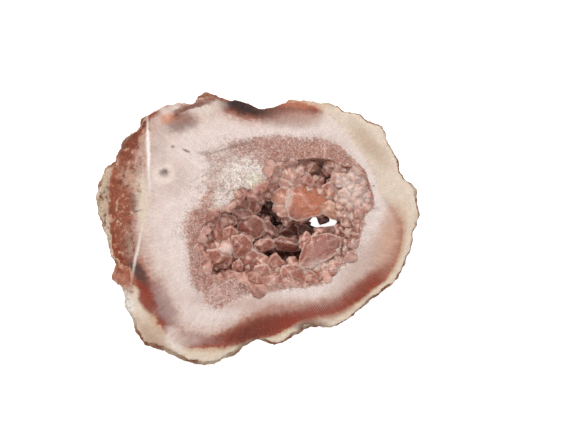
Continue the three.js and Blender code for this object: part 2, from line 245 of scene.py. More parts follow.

# %% [markdown]
# ## The bands of the wall
#
# Seen on the sawn face, every band runs right round the hollow. So the place of a point in the banding is
# one number, the layer: 0 at the mouth of the hollow, 1 where its granular lining of small crystals ends, 2
# and 3 at the two edges of the rusty band, and 4 at the outline. Rings drawn in the shader would all be
# alike, while real bands pinch and swell. Three curves, drawn in millimetres, give the boundaries
# instead, and the mouth and the outline are measured on the CAD wall. Between two curves the layer is a
# straight blend along the line from the middle of the hollow.

# %% Curves between the bands, in millimetres, clockwise
HOLLOW_CENTRE = Vector((6.2, 1.6))
GRANULAR_EDGE = [
    (-12.8, 29.3), (-9.2, 31.5), (-4.5, 32.9), (2.7, 32.9), (15.3, 32.6), (24.3, 32.2), (29, 30.4),
    (33.3, 26.8), (36.2, 23.9), (38.7, 21.4), (39.8, 17.8), (41.6, 12.4), (42.3, 8.1), (38.7, 5.2),
    (37.6, -0.2), (36.1, -5.6), (33.0, -10.8), (27.5, -15.2), (23.2, -19.4), (18.9, -20.6), (11.7, -20.8),
    (1.6, -22.1), (-4.5, -23), (-9.9, -25.4), (-15.3, -28.3), (-18.2, -26.5), (-20.7, -22.5),
    (-23.2, -18.2), (-24.3, -11.7), (-25, -5.6), (-25.4, 1.6), (-24.3, 5.9), (-20.7, 7.7), (-18.9, 10.6),
    (-18.2, 16), (-17.5, 21.4), (-18.2, 26.8),
]
RUSTY_INNER_EDGE = [
    (48.8, 5.2), (48.8, -3.8), (46.3, -9.2), (42.3, -13.9), (36.9, -18.9), (31.5, -22.9), (26.1, -25),
    (18.9, -26.5), (11.7, -27.2), (4.5, -27.5), (-0.9, -29.7), (-6.3, -32.6), (-11.7, -36.2),
    (-18.9, -39.1), (-24.3, -38.7), (-28.6, -35.5), (-32.2, -29), (-35.1, -21.8), (-38.7, -16.4),
    (-41.9, -11.7), (-44.5, -3.8), (-45.5, 7), (-44.8, 16), (-44.5, 25), (-42.3, 32.2), (-38, 40.1),
    (-29.7, 42.3), (-20.7, 44.5), (-15.3, 44.5), (-11.7, 42.3), (-6.3, 40.1), (-0.9, 39.4), (6.3, 40.1),
    (11.7, 41.2), (24.3, 41.2), (26.1, 40.9), (31.5, 35.5), (36.9, 28.3), (41.2, 21.1), (44.1, 12.1),
]
RUSTY_OUTER_EDGE = [
    (49.9, 6.3), (52, 1.6), (52, -3.8), (50.9, -9.2), (48.8, -13.9), (45.9, -18.2), (41.2, -21.8),
    (36.2, -25.7), (31.5, -28.6), (26.1, -30.4), (20.7, -31.1), (17.1, -31.9), (13.5, -33.3),
    (9.2, -36.5), (4.5, -38.7), (-2.7, -39.8), (-6.3, -41.2), (-11.7, -42.3), (-17.1, -42.3),
    (-24.3, -42.7), (-30.8, -40.1), (-35.1, -34.4), (-36.9, -29.7), (-38.7, -25.4), (-41.2, -21.8),
    (-47.7, -18.2), (-52.4, -11.7), (-53.8, -0.9), (-54.9, 10.6), (-53.8, 19.6), (-50.2, 27.9),
    (-45.9, 34.4), (-39.4, 42.3), (-31.5, 45.5), (-24.3, 46.6), (-16.4, 47.3), (-2.7, 45.5), (4.5, 44.1),
    (9.9, 45.5), (15.3, 45.5), (20.7, 44.1), (24.3, 41.9), (26.1, 41.2), (31.5, 35.8), (36.9, 28.6),
    (41.2, 21.4), (44.1, 12.4),
]


# %% How far each curve is from the middle of the hollow, by bearing
MERGE_DISTANCE = 0.01 * MM
MOUTH_MARGIN = 1.12  # rim corners nearer than this many times the granular edge are the mouth's
THINNEST_BAND = 0.3  # millimetres
LAYER_DEPTH_INSIDE = 5  # millimetres from the mouth inwards for one layer
RUSTY_FROM, RUSTY_SPAN = 0.5, 1.8  # rust comes in as its band widens from the first by the second


def polar(points):
    """The bearing and distance of points, as rows of millimetres, from the middle of the hollow."""
    around = points[:, :2] - np.array(HOLLOW_CENTRE)
    return np.arctan2(around[:, 1], around[:, 0]), np.hypot(around[:, 0], around[:, 1])


def reach_by_bearing(points):
    """A function from a bearing in radians to the curve's distance from the middle of the hollow."""
    bearings, reaches = polar(np.array([tuple(point) for point in points]))
    order = np.argsort(bearings)
    return lambda bearing: np.interp(bearing, bearings[order], reaches[order], period=math.tau)


def merged_cad_wall():
    """A copy of the CAD wall with its corners joined."""
    bm = bmesh.new()
    bm.from_mesh(wall_node.data)
    bmesh.ops.remove_doubles(bm, verts=bm.verts, dist=MERGE_DISTANCE)
    return bm


def face_rims():
    """The corners of the CAD wall on the edges of the sawn face: those of the mouth, and of the outline."""
    bm = merged_cad_wall()
    mouth, outline = [], []
    for vert in bm.verts:
        on_face = vert.co.z > FACE_Z - MERGE_DISTANCE
        if on_face and any(face.normal.z < 0.9 for face in vert.link_faces):
            point = Vector((vert.co.x / MM, vert.co.y / MM))
            around = point - HOLLOW_CENTRE
            inner = around.length < MOUTH_MARGIN * lining_reach(math.atan2(around.y, around.x))
            (mouth if inner else outline).append(point)
    bm.free()
    return mouth, outline


lining_reach = reach_by_bearing(GRANULAR_EDGE)
mouth_rim, outline_rim = face_rims()
mouth_reach = reach_by_bearing(mouth_rim)
BAND_CURVES = [
    mouth_reach,
    lining_reach,
    reach_by_bearing(RUSTY_INNER_EDGE),
    reach_by_bearing(RUSTY_OUTER_EDGE),
    reach_by_bearing(outline_rim),
]
print("rim corners:", len(mouth_rim), "round the mouth,", len(outline_rim), "round the outline")


def layers_at(points):
    """The layer and the bearing of each point, and how much rust its side has."""
    bearings, reaches = polar(points)
    edges = [BAND_CURVES[0](bearings)]
    for curve in BAND_CURVES[1:]:
        edges.append(np.maximum(curve(bearings), edges[-1] + THINNEST_BAND))
    layer = np.clip((reaches - edges[0]) / LAYER_DEPTH_INSIDE, -1, 0)
    for inner, outer in zip(edges, edges[1:]):
        layer += np.clip((reaches - inner) / (outer - inner), 0, 1)
    rust = np.clip((edges[3] - edges[2] - RUSTY_FROM) / RUSTY_SPAN, 0, 1)
    return layer, bearings, rust


# %% [markdown]
# ## The rock wall
#
# The CAD wall has the right size, but its surfaces are plain. On the real piece the rind is lumpy and
# pitted, the broken side on the left is a rough fracture, the hollow is lined with small crystals, and only
# the sawn face is flat. Bumps in the material alone would leave the outline smooth. So voxel remeshing
# turns the whole solid into an even skin of small squares, which can then be pushed in and out by noise, as
# a sculptor would. Each corner asks the CAD wall which surface it lies on, so that the sawn face stays
# flat. A second, finer remesh evens the skin out again.

# %% Which surface of the CAD wall is nearest
SAWN, BROKEN, HOLLOW, RIND = range(4)
HOLLOW_FLOOR = FACE_Z - 24.5 * MM
BREAK_SLOPE, BREAK_SIDE = math.radians(34), -30 * MM
BREAK_NORMAL = Vector((-math.sin(BREAK_SLOPE), 0.0, math.cos(BREAK_SLOPE)))


def surface_kind(face):
    """Sorts a face of the CAD wall by where it lies and faces."""
    middle = face.calc_center_median()
    if min(vert.co.z for vert in face.verts) > FACE_Z - 0.02 * MM:
        return SAWN
    if face.normal.dot(BREAK_NORMAL) > 0.97 and middle.x < BREAK_SIDE:
        return BROKEN
    around = Vector((middle.x / MM, middle.y / MM)) - HOLLOW_CENTRE
    inside = around.length < mouth_reach(math.atan2(around.y, around.x)) + 0.2
    return HOLLOW if inside and middle.z > HOLLOW_FLOOR else RIND


guide = merged_cad_wall()
guide.faces.ensure_lookup_table()
guide_kinds = [surface_kind(face) for face in guide.faces]
guide_tree = BVHTree.FromBMesh(guide)
for kind, name in enumerate(("sawn", "broken", "hollow", "rind")):
    print("CAD faces,", name, guide_kinds.count(kind))


# %% Reading and writing a skin
def triangles_of(mesh):
    """How many triangles a mesh has."""
    return sum(len(face.vertices) - 2 for face in mesh.polygons)


def rows_of(items, key):
    """One vector for each item, as rows of numbers."""
    flat = np.empty(len(items) * 3, np.float32)
    items.foreach_get(key, flat)
    return flat.reshape(-1, 3).astype(float)


def skin_facts(mesh):
    """Each corner's place and direction as rows, and the kind of CAD surface that it lies nearest to."""
    points, normals = rows_of(mesh.vertices, "co"), rows_of(mesh.vertex_normals, "vector")
    kinds = np.array([guide_kinds[guide_tree.find_nearest(point)[2]] for point in points])
    return points, normals, kinds


def put_positions(mesh, points):
    """Writes the corners back, none of them under the floor or above the sawn face."""
    points[:, 2] = np.clip(points[:, 2], 0, FACE_Z)
    mesh.vertices.foreach_set("co", points.astype(np.float32).ravel())
    mesh.update()


# %% Noise, and an even skin
FRACTAL = (0.8, 2.1)  # how fast the finer octaves fade, and how much finer each one is


def rough(points, size, octaves=3, seed=0.0):
    """Fractal noise from about -1 to 1, with lumps of the given size in millimetres."""
    scale = 1 / (size * MM)
    shift = Vector((seed, seed * 1.7, -seed))
    return np.array([noise.fractal(Vector(p) * scale + shift, *FRACTAL, octaves) for p in points])


def cells(points, size, seed=0.0):
    """Distance to the nearest cell centre, from 0 in its middle to about 1 at its edge."""
    scale = 1 / (size * MM)
    shift = Vector((seed, -seed, seed * 0.6))
    return np.array([noise.voronoi(Vector(p) * scale + shift)[0][0] for p in points])


def plan_distance(points, x, y):
    """How far each point is from a place on the sawn face, in millimetres."""
    return np.hypot(points[:, 0] / MM - x, points[:, 1] / MM - y)


def remeshed(mesh, voxel):
    """An even skin of small squares over a closed mesh."""
    holder = bpy.data.objects.new("remesh_holder", mesh)
    bpy.context.scene.collection.objects.link(holder)
    modifier = holder.modifiers.new("skin", "REMESH")
    modifier.mode = "VOXEL"
    modifier.voxel_size = voxel
    bpy.context.view_layer.update()
    skin = bpy.data.meshes.new_from_object(holder.evaluated_get(bpy.context.evaluated_depsgraph_get()))
    bpy.data.objects.remove(holder)
    return skin


# %% Coarse shape of the wall
COARSE_SKIN = 0.8 * MM
RISE_BELOW_FACE = 2.5 * MM  # the lumps grow to their full height over this depth
SWELL, LEFT_SWELL, LEFT_SWELL_FROM, LEFT_SWELL_SPAN = 0.5, 0.8, -44, 8  # millimetres
merged_wall = bpy.data.meshes.new("merged_wall")
guide.to_mesh(merged_wall)
guide.free()
wall_mesh = remeshed(merged_wall, COARSE_SKIN)
points, normals, kinds = skin_facts(wall_mesh)
lumps = 0.9 * rough(points, 9, 3, 3.1) + 0.6 * rough(points, 3.2, 3, 8.4)
knobs = 1.5 * (0.42 - cells(points, 5.5, 5.2)) + 0.9 * (0.42 - cells(points, 2.4, 3.2))
fracture = 0.9 * rough(points, 12, 3, 1.3) + 0.8 * rough(points, 4, 4, 6.6)
fracture = fracture + 0.7 * (0.4 - cells(points, 3.0, 4.1))
blocks = 1.6 * (0.45 - cells(points, 4.2, 2.2)) + 0.5 * (0.45 - cells(points, 1.7, 7.7))
below_face = np.clip((FACE_Z - points[:, 2]) / RISE_BELOW_FACE, 0, 1)
swell = SWELL + LEFT_SWELL * np.clip((LEFT_SWELL_FROM - points[:, 0] / MM) / LEFT_SWELL_SPAN, 0, 1)
rind_push = (0.7 * lumps + knobs) * (0.75 + 0.25 * below_face) + swell
hollow_push = blocks * (0.3 + 0.7 * below_face)
rough_kinds = [kinds == RIND, kinds == BROKEN, kinds == HOLLOW]
push = np.select(rough_kinds, [rind_push, fracture * below_face, hollow_push], 0.0)
points += normals * (push * MM)[:, None]
put_positions(wall_mesh, points)
print("coarse skin:", len(points), "corners")

# %% [markdown]
# The second remesh gives the skin its final fineness. Then the small marks go in: the grain of the
# granular lining, the porous nodule in the thick side of the wall, a few single pits, and a fine tooth on
# the rind and the fracture.

# %% Fine shape of the wall
SKIN = 0.63 * MM
NODULE, NODULE_RADIUS = Vector((-33.6, 20.2)), 3.4
NODULE_DEPTH, GRAIN_DEPTH, TOOTH_DEPTH = 2.0, 0.9, 0.12  # millimetres
# x, y, radius and depth of single pits
FACE_PITS = [
    (-29.0, 40.8, 1.0, 2.5), (-16.7, 27.0, 0.7, 0.8), (22.6, -17.4, 0.9, 1.2), (-26.9, 29.5, 0.45, 0.4),
]
wall_mesh = remeshed(wall_mesh, SKIN)
points, normals, kinds = skin_facts(wall_mesh)
layer, bearing, rust = layers_at(points / MM)
on_plan = (layer > 0.04) & (layer < 3.96) & (normals[:, 2] > 0.1)
flat_top = (points[:, 2] > FACE_Z - 0.35 * MM) & (normals[:, 2] > 0.8)
flat_top |= on_plan & (points[:, 2] > FACE_Z - 0.9 * MM)
points[flat_top, 2] = FACE_Z
granular = np.clip(1.15 - np.abs(layer - 0.4) / 0.7, 0, 1) * flat_top
tooth = rough(points, 1.1, 3, 4.4)
grain_pits = np.clip(0.42 - cells(points, 1.25, 9.1), 0, 1)
sink = granular * (GRAIN_DEPTH * grain_pits + TOOTH_DEPTH * np.clip(tooth, 0, 1))
in_nodule = np.clip(1.2 - plan_distance(points, *NODULE) / NODULE_RADIUS, 0, 1)
sink += flat_top * in_nodule * NODULE_DEPTH * np.clip(0.40 - cells(points, 1.1, 1.9), 0, 1)
for x, y, radius, depth in FACE_PITS:
    sink += flat_top * depth * np.exp(-((plan_distance(points, x, y) / radius) ** 2))
rough_kinds = [kinds == RIND, kinds == BROKEN, kinds == HOLLOW]
rough_part = np.select(rough_kinds, [0.3, 0.32, 0.3], 0.0) * ~flat_top
points += normals * (rough_part * tooth * MM)[:, None]
points[:, 2] -= sink * MM
put_positions(wall_mesh, points)
print("fine skin:", len(points), "corners,", triangles_of(wall_mesh), "triangles")


# %% [markdown]
# Facts about each corner go to the material as attributes: its bearing and layer as one vector, whether it
# belongs to the sawn face or to the broken side, and how rusty the banding is there. Off the face the layer
# is set by the surface: the rind is beyond 4, and the hollow is below 0.

# %% Facts for the material
RIND_LAYER, HOLLOW_LAYER = 4.4, -0.3


def add_attribute(mesh, name, kind, values):
    """Stores one value or vector for each corner."""
    attribute = mesh.attributes.new(name, kind, "POINT")
    key = "vector" if kind == "FLOAT_VECTOR" else "value"
    attribute.data.foreach_set(key, np.asarray(values, np.float32).ravel())


layer = np.where((kinds == RIND) & ~flat_top, np.maximum(layer, RIND_LAYER), layer)
layer = np.where((kinds == HOLLOW) & ~flat_top, np.minimum(layer, HOLLOW_LAYER), layer)
banding = np.stack([np.cos(bearing), np.sin(bearing), layer], axis=1)
add_attribute(wall_mesh, "banding", "FLOAT_VECTOR", banding)
add_attribute(wall_mesh, "sawn", "FLOAT", flat_top)
add_attribute(wall_mesh, "rust", "FLOAT", rust)
add_attribute(wall_mesh, "broken", "FLOAT", (kinds == BROKEN) & ~flat_top)
wall_mesh.polygons.foreach_set("use_smooth", np.ones(len(wall_mesh.polygons), bool))
wall_piece = bpy.data.objects.new("sawn_rock_wall", wall_mesh)
bpy.context.scene.collection.objects.link(wall_piece)
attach(wall_piece, "root")
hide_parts("geode_wall")
print("corners on the sawn face:", int(flat_top.sum()))


# %% [markdown]
# ## Effects that several materials share
#
# Each effect is a node group, built once: a fine grain of light and dark specks, and a stain, which is a
# soft, ragged ellipse of another colour laid over what is there. Natural stone is full of stains. Noise
# alone would scatter them anywhere, so each one here is placed one by one with its own size, turn and
# softness.

# %% Grain group
def build_grain():
    """Specks of two sizes, as one value from 0 to 1 around a half."""
    group, given, result = new_group(
        "grain",
        [("Position", VECTOR, None), ("Size", FLOAT, 1.0), ("Contrast", FLOAT, 0.5)],
        [("Value", FLOAT)],
    )
    finer = maths(group, "DIVIDE", 1.0, given["Size"])
    fine = cloudy(group, given["Position"], finer, 3.0)[0]
    coarse = cloudy(group, given["Position"], maths(group, "MULTIPLY", finer, 0.31))[0]
    both = maths(group, "ADD", fine, maths(group, "MULTIPLY", coarse, 0.5))
    centred = maths(group, "SUBTRACT", both, 0.75)
    group.links.new(maths(group, "MULTIPLY_ADD", centred, given["Contrast"], 0.5), result["Value"])
    return group


def grain(tree, position, size, contrast):
    """The grain group's value in a material; size is in millimetres."""
    inputs = {"Position": position, "Size": size, "Contrast": contrast}
    return add_node(tree, "Group", inputs, node_tree=grain_group)["Value"]


grain_group = build_grain()
print("grain group:", len(grain_group.nodes), "nodes")


# %% Stain group
# The same ellipse also lays a painted shade, a painted shadow and painted highlights.
def build_stain():
    """Lays one ragged ellipse of colour over another colour."""
    group, given, result = new_group(
        "stain",
        [
            ("Base", COLOUR, None), ("Position", VECTOR, None), ("Stain", COLOUR, None),
            ("Centre", VECTOR, None),
            ("Half Length", FLOAT, 5.0), ("Half Width", FLOAT, 5.0), ("Turn", FLOAT, 0.0),
            ("Softness", FLOAT, 0.5), ("Strength", FLOAT, 1.0),
        ],
        [("Colour", COLOUR), ("Mask", FLOAT)],
    )
    moved = vectors(group, "SUBTRACT", given["Position"], given["Centre"])
    turned = turned_about_z(group, moved, given["Turn"])
    parts = add_node(group, "SeparateXYZ", {0: turned})
    along = maths(group, "DIVIDE", parts["X"], given["Half Length"])
    across = maths(group, "DIVIDE", parts["Y"], given["Half Width"])
    along_square = maths(group, "MULTIPLY", along, along)
    distance = maths(group, "SQRT", maths(group, "MULTIPLY_ADD", across, across, along_square))
    outer_edge = maths(group, "ADD", 1.0, given["Softness"])
    inner_edge = maths(group, "SUBTRACT", 1.0, given["Softness"])
    edge = ranged(group, distance, outer_edge, inner_edge, how="SMOOTHSTEP")
    mask = maths(group, "MULTIPLY", edge, given["Strength"])
    group.links.new(blend_colours(group, mask, given["Base"], given["Stain"]), result["Colour"])
    group.links.new(mask, result["Mask"])
    return group


def lay_stain(tree, base, position, stain):
    """Lays one stain over a colour. Gives the outputs: the new colour, and the stain's mask."""
    tint, centre, half_length, half_width, turn, softness, strength = stain
    return add_node(tree, "Group", {
        "Base": base, "Position": position, "Stain": screen_colour(*tint), "Centre": (*centre, 0),
        "Half Length": half_length, "Half Width": half_width, "Turn": math.radians(-turn),
        "Softness": softness, "Strength": strength,
    }, node_tree=stain_group)


def lay_stains(tree, colour, position, stains):
    """Lays a list of stains over a colour, one after another."""
    for stain in stains:
        colour = lay_stain(tree, colour, position, stain)["Colour"]
    return colour


stain_group = build_stain()
print("stain group:", len(stain_group.nodes), "nodes")

# %% [markdown]
# ## Finish of the rock
#
# A colour ramp turns the layer into colour: the brownish pink lining of small crystals, the milky wall that
# is whitest next to it, the rusty band, and the beige crust. A second ramp without rust serves the sides
# where that band pinches out. The layer is first shaken by noise, because no band has a clean edge. Then
# come the stains, with one painted shade among them, the lines, of which two are painted highlights along
# the ridge of the broken side, the painted sparkles, the specks, and the fibres that run outwards through
# the wall. The sawn face has a soft shine, and the rind has none. A texture painted by hand could do the
# same, but it would go soft close up.

# %% Colours of the bands, by layer
BAND_COLOURS = [
    (-1.0, (120, 66, 52)),
    (-0.3, (150, 92, 76)),
    (0.0, (164, 112, 98)),
    (0.55, (170, 120, 105)),
    (0.92, (184, 142, 129)),
    (1.08, (227, 209, 202)),
    (1.35, (231, 214, 207)),
    (1.65, (224, 203, 194)),
    (1.9, (204, 172, 160)),
    (2.06, (174, 120, 102)),
    (2.35, (142, 76, 58)),
    (2.75, (138, 54, 34)),
    (2.95, (160, 78, 52)),
    (3.12, (204, 168, 140)),
    (3.5, (224, 205, 184)),
    (3.95, (226, 207, 188)),
    (4.3, (196, 170, 146)),
    (5.0, (168, 138, 112)),
]
PLAIN_COLOURS = [
    (-1.0, (120, 66, 52)),
    (0.0, (164, 112, 98)),
    (0.55, (170, 120, 105)),
    (0.92, (184, 142, 129)),
    (1.08, (227, 209, 202)),
    (1.6, (230, 214, 206)),
    (2.6, (222, 200, 186)),
    (3.2, (223, 205, 186)),
    (3.95, (230, 212, 194)),
    (4.3, (202, 178, 154)),
    (5.0, (168, 138, 112)),
]
LAYER_LOW, LAYER_HIGH = -1.0, 5.0

# %% Stains on the face and the broken side, with one painted shade
# colour, (x, y) in millimetres, half length, half width, turn in degrees, softness, strength
STAINS_AND_SHADE = [
    ((46, 26, 22), (-4.4, 44.4), 12.0, 3.0, -16, 0.6, 0.97),
    ((120, 72, 56), (8.5, 44.2), 8.0, 1.9, 4, 0.6, 0.7),
    ((196, 122, 92), (14.0, 45.0), 8.5, 1.3, -6, 0.6, 0.7),
    ((214, 150, 120), (-32.0, 40.4), 3.4, 2.3, 15, 0.35, 0.9),
    ((122, 92, 84), (-27.6, 37.6), 5.0, 2.6, 12, 0.8, 0.75),
    ((196, 180, 174), (-35.5, 30.5), 2.6, 7.0, 0, 0.8, 0.5),
    ((205, 178, 170), (-30.5, 18.5), 6.6, 6.2, 30, 0.6, 0.6),
    ((235, 216, 206), (-33.8, 19.8), 4.2, 3.8, 20, 0.3, 0.9),
    ((92, 74, 66), (-33.6, 20.6), 1.5, 1.3, 0, 0.8, 0.85),
    ((120, 96, 88), (-17.3, 27.2), 4.2, 0.8, -12, 0.8, 0.8),
    ((168, 138, 128), (-10.0, 29.6), 8.0, 1.2, 14, 0.8, 0.6),
    ((236, 228, 220), (-6.0, 20.5), 7.6, 5.0, -12, 0.45, 0.85),
    ((210, 198, 162), (-1.0, 17.0), 3.8, 2.8, -30, 0.6, 0.75),
    ((208, 172, 162), (-11.8, -21.8), 6.2, 3.9, 20, 0.3, 0.8),
    ((130, 86, 72), (-3.0, -20.4), 4.6, 2.2, 25, 0.5, 0.7),
    ((168, 142, 138), (-33.5, -27.5), 9.0, 2.9, -66, 0.6, 0.75),
    ((160, 128, 122), (-22.0, -39.2), 8.5, 1.7, -8, 0.7, 0.6),
    ((84, 56, 50), (-43.0, -15.4), 5.2, 2.3, -56, 0.5, 0.9),
    ((140, 54, 36), (-40.2, -24.6), 5.4, 2.4, -68, 0.5, 0.95),
    ((136, 70, 52), (-38.2, -28.4), 3.0, 1.4, -70, 0.6, 0.7),
    ((238, 226, 218), (-29.8, -39.4), 4.6, 3.0, -40, 0.5, 0.85),
    ((128, 104, 94), (-45.8, 9.8), 2.8, 3.6, 10, 0.6, 0.6),
    ((172, 140, 124), (-46.6, -4.7), 3.0, 6.2, 12, 0.6, 0.85),
    ((226, 208, 188), (-41.8, 10.0), 2.2, 11.0, 2, 0.5, 0.75),
    ((176, 106, 82), (-50.2, -16.8), 6.2, 4.2, -35, 0.4, 0.9),
    ((236, 228, 220), (-46.4, -26.8), 1.9, 4.6, 18, 0.5, 0.9),
    ((204, 184, 158), (-56.0, 11.5), 1.6, 9.5, 0, 0.4, 0.9),
    ((172, 132, 118), (12.6, 40.0), 8.5, 3.2, 0, 0.7, 0.7),
    ((150, 124, 118), (39.5, 7.4), 3.4, 0.9, 0, 0.8, 0.7),
    ((130, 92, 84), (22.6, -17.4), 1.2, 1.2, 0, 0.5, 0.9),
    ((162, 94, 68), (-50.0, 13.0), 4.2, 21.0, 0, 0.5, 0.85),
    ((146, 88, 66), (-13.6, 48.4), 11.0, 1.5, 2, 0.5, 0.8),
    ((224, 206, 196), (-19.0, 43.6), 6.5, 2.5, 8, 0.6, 0.9),
    ((150, 106, 94), (-26.8, 40.4), 3.8, 2.3, 0, 0.6, 0.8),
    ((226, 208, 198), (-31.6, 43.4), 4.6, 1.8, 25, 0.6, 0.85),
    ((112, 56, 40), (-23.5, 44.4), 6.4, 0.8, 16, 0.5, 0.85),
    ((214, 188, 166), (21.5, 45.8), 7.0, 1.1, -10, 0.6, 0.8),
    ((192, 160, 147), (37.5, -12.6), 16.5, 4.4, 51, 0.8, 0.7),
    ((194, 156, 143), (-1.0, -26.6), 22.0, 3.2, -4, 0.8, 0.6),
    ((110, 44, 28), (-1.0, -36.8), 11.0, 3.4, 20, 0.6, 0.85),
    ((140, 52, 32), (16.0, -31.6), 12.5, 2.4, 15, 0.6, 0.85),
    ((224, 208, 200), (-12.5, 23.0), 6.5, 9.0, 20, 0.6, 0.8),
    ((228, 216, 208), (-12.9, 8.6), 3.0, 5.4, 10, 0.6, 0.8),
    ((200, 170, 160), (-26.4, -39.3), 5.6, 2.4, -18, 0.6, 0.85),
    ((208, 166, 144), (47.6, -4.2), 11.0, 4.0, 76, 0.7, 0.8),
    ((172, 128, 114), (10.0, 30.0), 17.0, 2.8, 2, 0.8, 0.55),
    ((168, 122, 110), (-22.0, -8.0), 3.0, 12.0, 0, 0.8, 0.5),
    # Painted shade along the lower edge, where the rim turns under.
    ((112, 66, 50), (19.2, -34.8), 5.2, 1.9, 6, 0.5, 0.9),
    ((172, 132, 106), (-37.2, -40.2), 10.0, 3.0, -48, 0.8, 0.65),
    ((188, 132, 106), (20.2, 27.6), 5.6, 2.6, 5, 0.7, 0.5),
    ((142, 62, 42), (35.8, -22.8), 11.5, 3.0, 40, 0.6, 0.8),
    ((226, 196, 176), (-47.0, 19.0), 3.0, 4.5, 15, 0.8, 0.5),
    ((194, 168, 144), (40.6, 30.4), 9.5, 2.8, -50, 0.7, 0.75),
    ((120, 76, 60), (-47.3, 33.0), 1.8, 8.0, -38, 0.7, 0.75),
]

# %% Lines: painted highlights along the ridge, cracks, a faint vein and the marks of the saw
# colour, (x, y) in millimetres, half length, half width, turn in degrees, softness, strength
LINES = [
    # The first two lines are painted highlights along the ridge where the sawn face meets the broken side.
    ((252, 247, 242), (-39.4, 28.8), 11.5, 0.55, 92, 0.9, 0.9),
    ((250, 242, 236), (-43.6, -8.6), 8.0, 0.5, 78, 0.9, 0.7),
    ((130, 100, 90), (-8.3, 29.9), 9.0, 0.5, 16, 0.9, 0.6),
    ((112, 84, 76), (-25.8, 28.4), 1.4, 0.4, -20, 0.7, 0.8),
    ((112, 84, 76), (-30.6, 29.9), 0.7, 0.5, 0, 0.7, 0.7),
    ((104, 76, 62), (-46.0, 5.8), 3.9, 0.35, 18, 0.8, 0.8),
    ((232, 214, 206), (-21.8, -32.2), 4.4, 0.35, 50, 0.9, 0.6),
    ((232, 214, 206), (-15.5, -27.2), 4.2, 0.3, 27, 0.9, 0.5),
    ((232, 212, 196), (24.2, 29.2), 3.6, 0.3, 90, 0.9, 0.6),
]


# %% Colour of the bands
BROAD_SHAKE, FINE_SHAKE = 0.5, 0.42  # in layers


def band_ramp(tree, place, band_colours):
    """A colour ramp over the layers."""
    outputs = add_node(tree, "ValToRGB", {0: place})
    stops = outputs[0].node.color_ramp.elements
    while len(stops) < len(band_colours):
        stops.new(1.0)
    for stop, (layer_value, colour) in zip(stops, band_colours):
        stop.position = (layer_value - LAYER_LOW) / (LAYER_HIGH - LAYER_LOW)
        stop.color = screen_colour(*colour)
    return outputs[0]


def centred_noise(tree, position, scale, detail):
    """Noise in three directions, centred on zero."""
    return vectors(tree, "SUBTRACT", cloudy(tree, position, scale, detail)[1], (0.5, 0.5, 0.5))


def shaken_plan(tree, position, centred, amount):
    """The place on the sawn face, moved about by noise by a few millimetres."""
    offset = vectors(tree, "SCALE", centred, amount)
    return vectors(tree, "MULTIPLY", vectors(tree, "ADD", position, offset), (1, 1, 0))


def banded_colour(tree, position, layer_value):
    """The layer shaken by broad and fine noise, and its colour."""
    broad = cloudy(tree, position, 0.16, 4.0)[0]
    fine = cloudy(tree, position, 0.9, 4.0)[0]
    shaken = maths(tree, "MULTIPLY_ADD", maths(tree, "SUBTRACT", broad, 0.5), BROAD_SHAKE, layer_value)
    shaken = maths(tree, "MULTIPLY_ADD", maths(tree, "SUBTRACT", fine, 0.5), FINE_SHAKE, shaken)
    span = LAYER_HIGH - LAYER_LOW
    ramp_place = maths(tree, "MULTIPLY", maths(tree, "SUBTRACT", shaken, LAYER_LOW), 1 / span)
    rusty = carried(tree, "rust")
    plain = band_ramp(tree, ramp_place, PLAIN_COLOURS)
    return shaken, blend_colours(tree, rusty, plain, band_ramp(tree, ramp_place, BAND_COLOURS))


# %% [markdown]
# What lies over the bands comes next, one helper for each thing that can be seen: the marks that the saw
# left, the crystals of the lining sawn through, a white crust, the mottling of the rind and of the broken
# side, and the painted sparkles (painted glints), specks and fibres. A helper takes the colour so far and
# gives it back changed, so each can be tried alone.

# %% Saw marks, sawn crystals and crust
BLACK, WHITE = (0, 0, 0), (255, 255, 255)
# The patches where the marks of the saw and the white crust show, written as stains are
SAW_PATCH = (WHITE, (26.5, -21.0), 12.0, 5.5, 38, 0.6, 1.0)
CRUST_PATCH = (WHITE, (-7.0, 17.6), 11.0, 5.4, 50, 0.6, 1.0)
SAW_TURN = math.radians(57)
CELLS_PER_MM = 0.42


def patch_mask(tree, position, patch):
    """Where a patch shows, as a value from 0 to 1."""
    return lay_stain(tree, screen_colour(*BLACK), position, patch)["Mask"]


def saw_marked(tree, colour, position, steady):
    """Fine straight lines in one patch."""
    patch = patch_mask(tree, steady, SAW_PATCH)
    along_saw = turned_about_z(tree, position, SAW_TURN)
    wave = {"Vector": along_saw, "Scale": 0.42, "Distortion": 0.5}
    stroke = add_node(tree, "TexWave", wave, bands_direction="Y")["Fac"]
    stroke = product(tree, ranged(tree, stroke, 0.72, 1.0), patch, 0.38)
    return paint(tree, stroke, colour, 238, 220, 210)


def sliced_lining(tree, colour, ragged, shaken):
    """Crystals of the lining, sawn through: each cell has its own shade and a pale border."""
    cell_inputs = {"Vector": ragged, "Scale": CELLS_PER_MM}
    sliced = add_node(tree, "TexVoronoi", cell_inputs)
    border = add_node(tree, "TexVoronoi", cell_inputs, feature="DISTANCE_TO_EDGE")["Distance"]
    in_lining = ranged(tree, shaken, 1.05, 0.85)
    cell_shade = add_node(tree, "SeparateColor", {0: sliced["Color"]})[0]
    colour = paint(tree, product(tree, cell_shade, in_lining, 0.55), colour, 160, 108, 92)
    frosted = ranged(tree, border, 0.16, 0.02)
    return paint(tree, product(tree, frosted, in_lining, 0.26), colour, 226, 200, 190)


def crusted(tree, colour, position, ragged):
    """A crisp white crust over one part of the lining."""
    patch = patch_mask(tree, ragged, CRUST_PATCH)
    flakes = ranged(tree, cloudy(tree, position, 0.9, 6.0)[0], 0.42, 0.54)
    return paint(tree, product(tree, flakes, patch, 0.6), colour, 240, 234, 226)


# %% Mottling of the rind and of the broken side
RIND_FROM_LAYER = 4.2


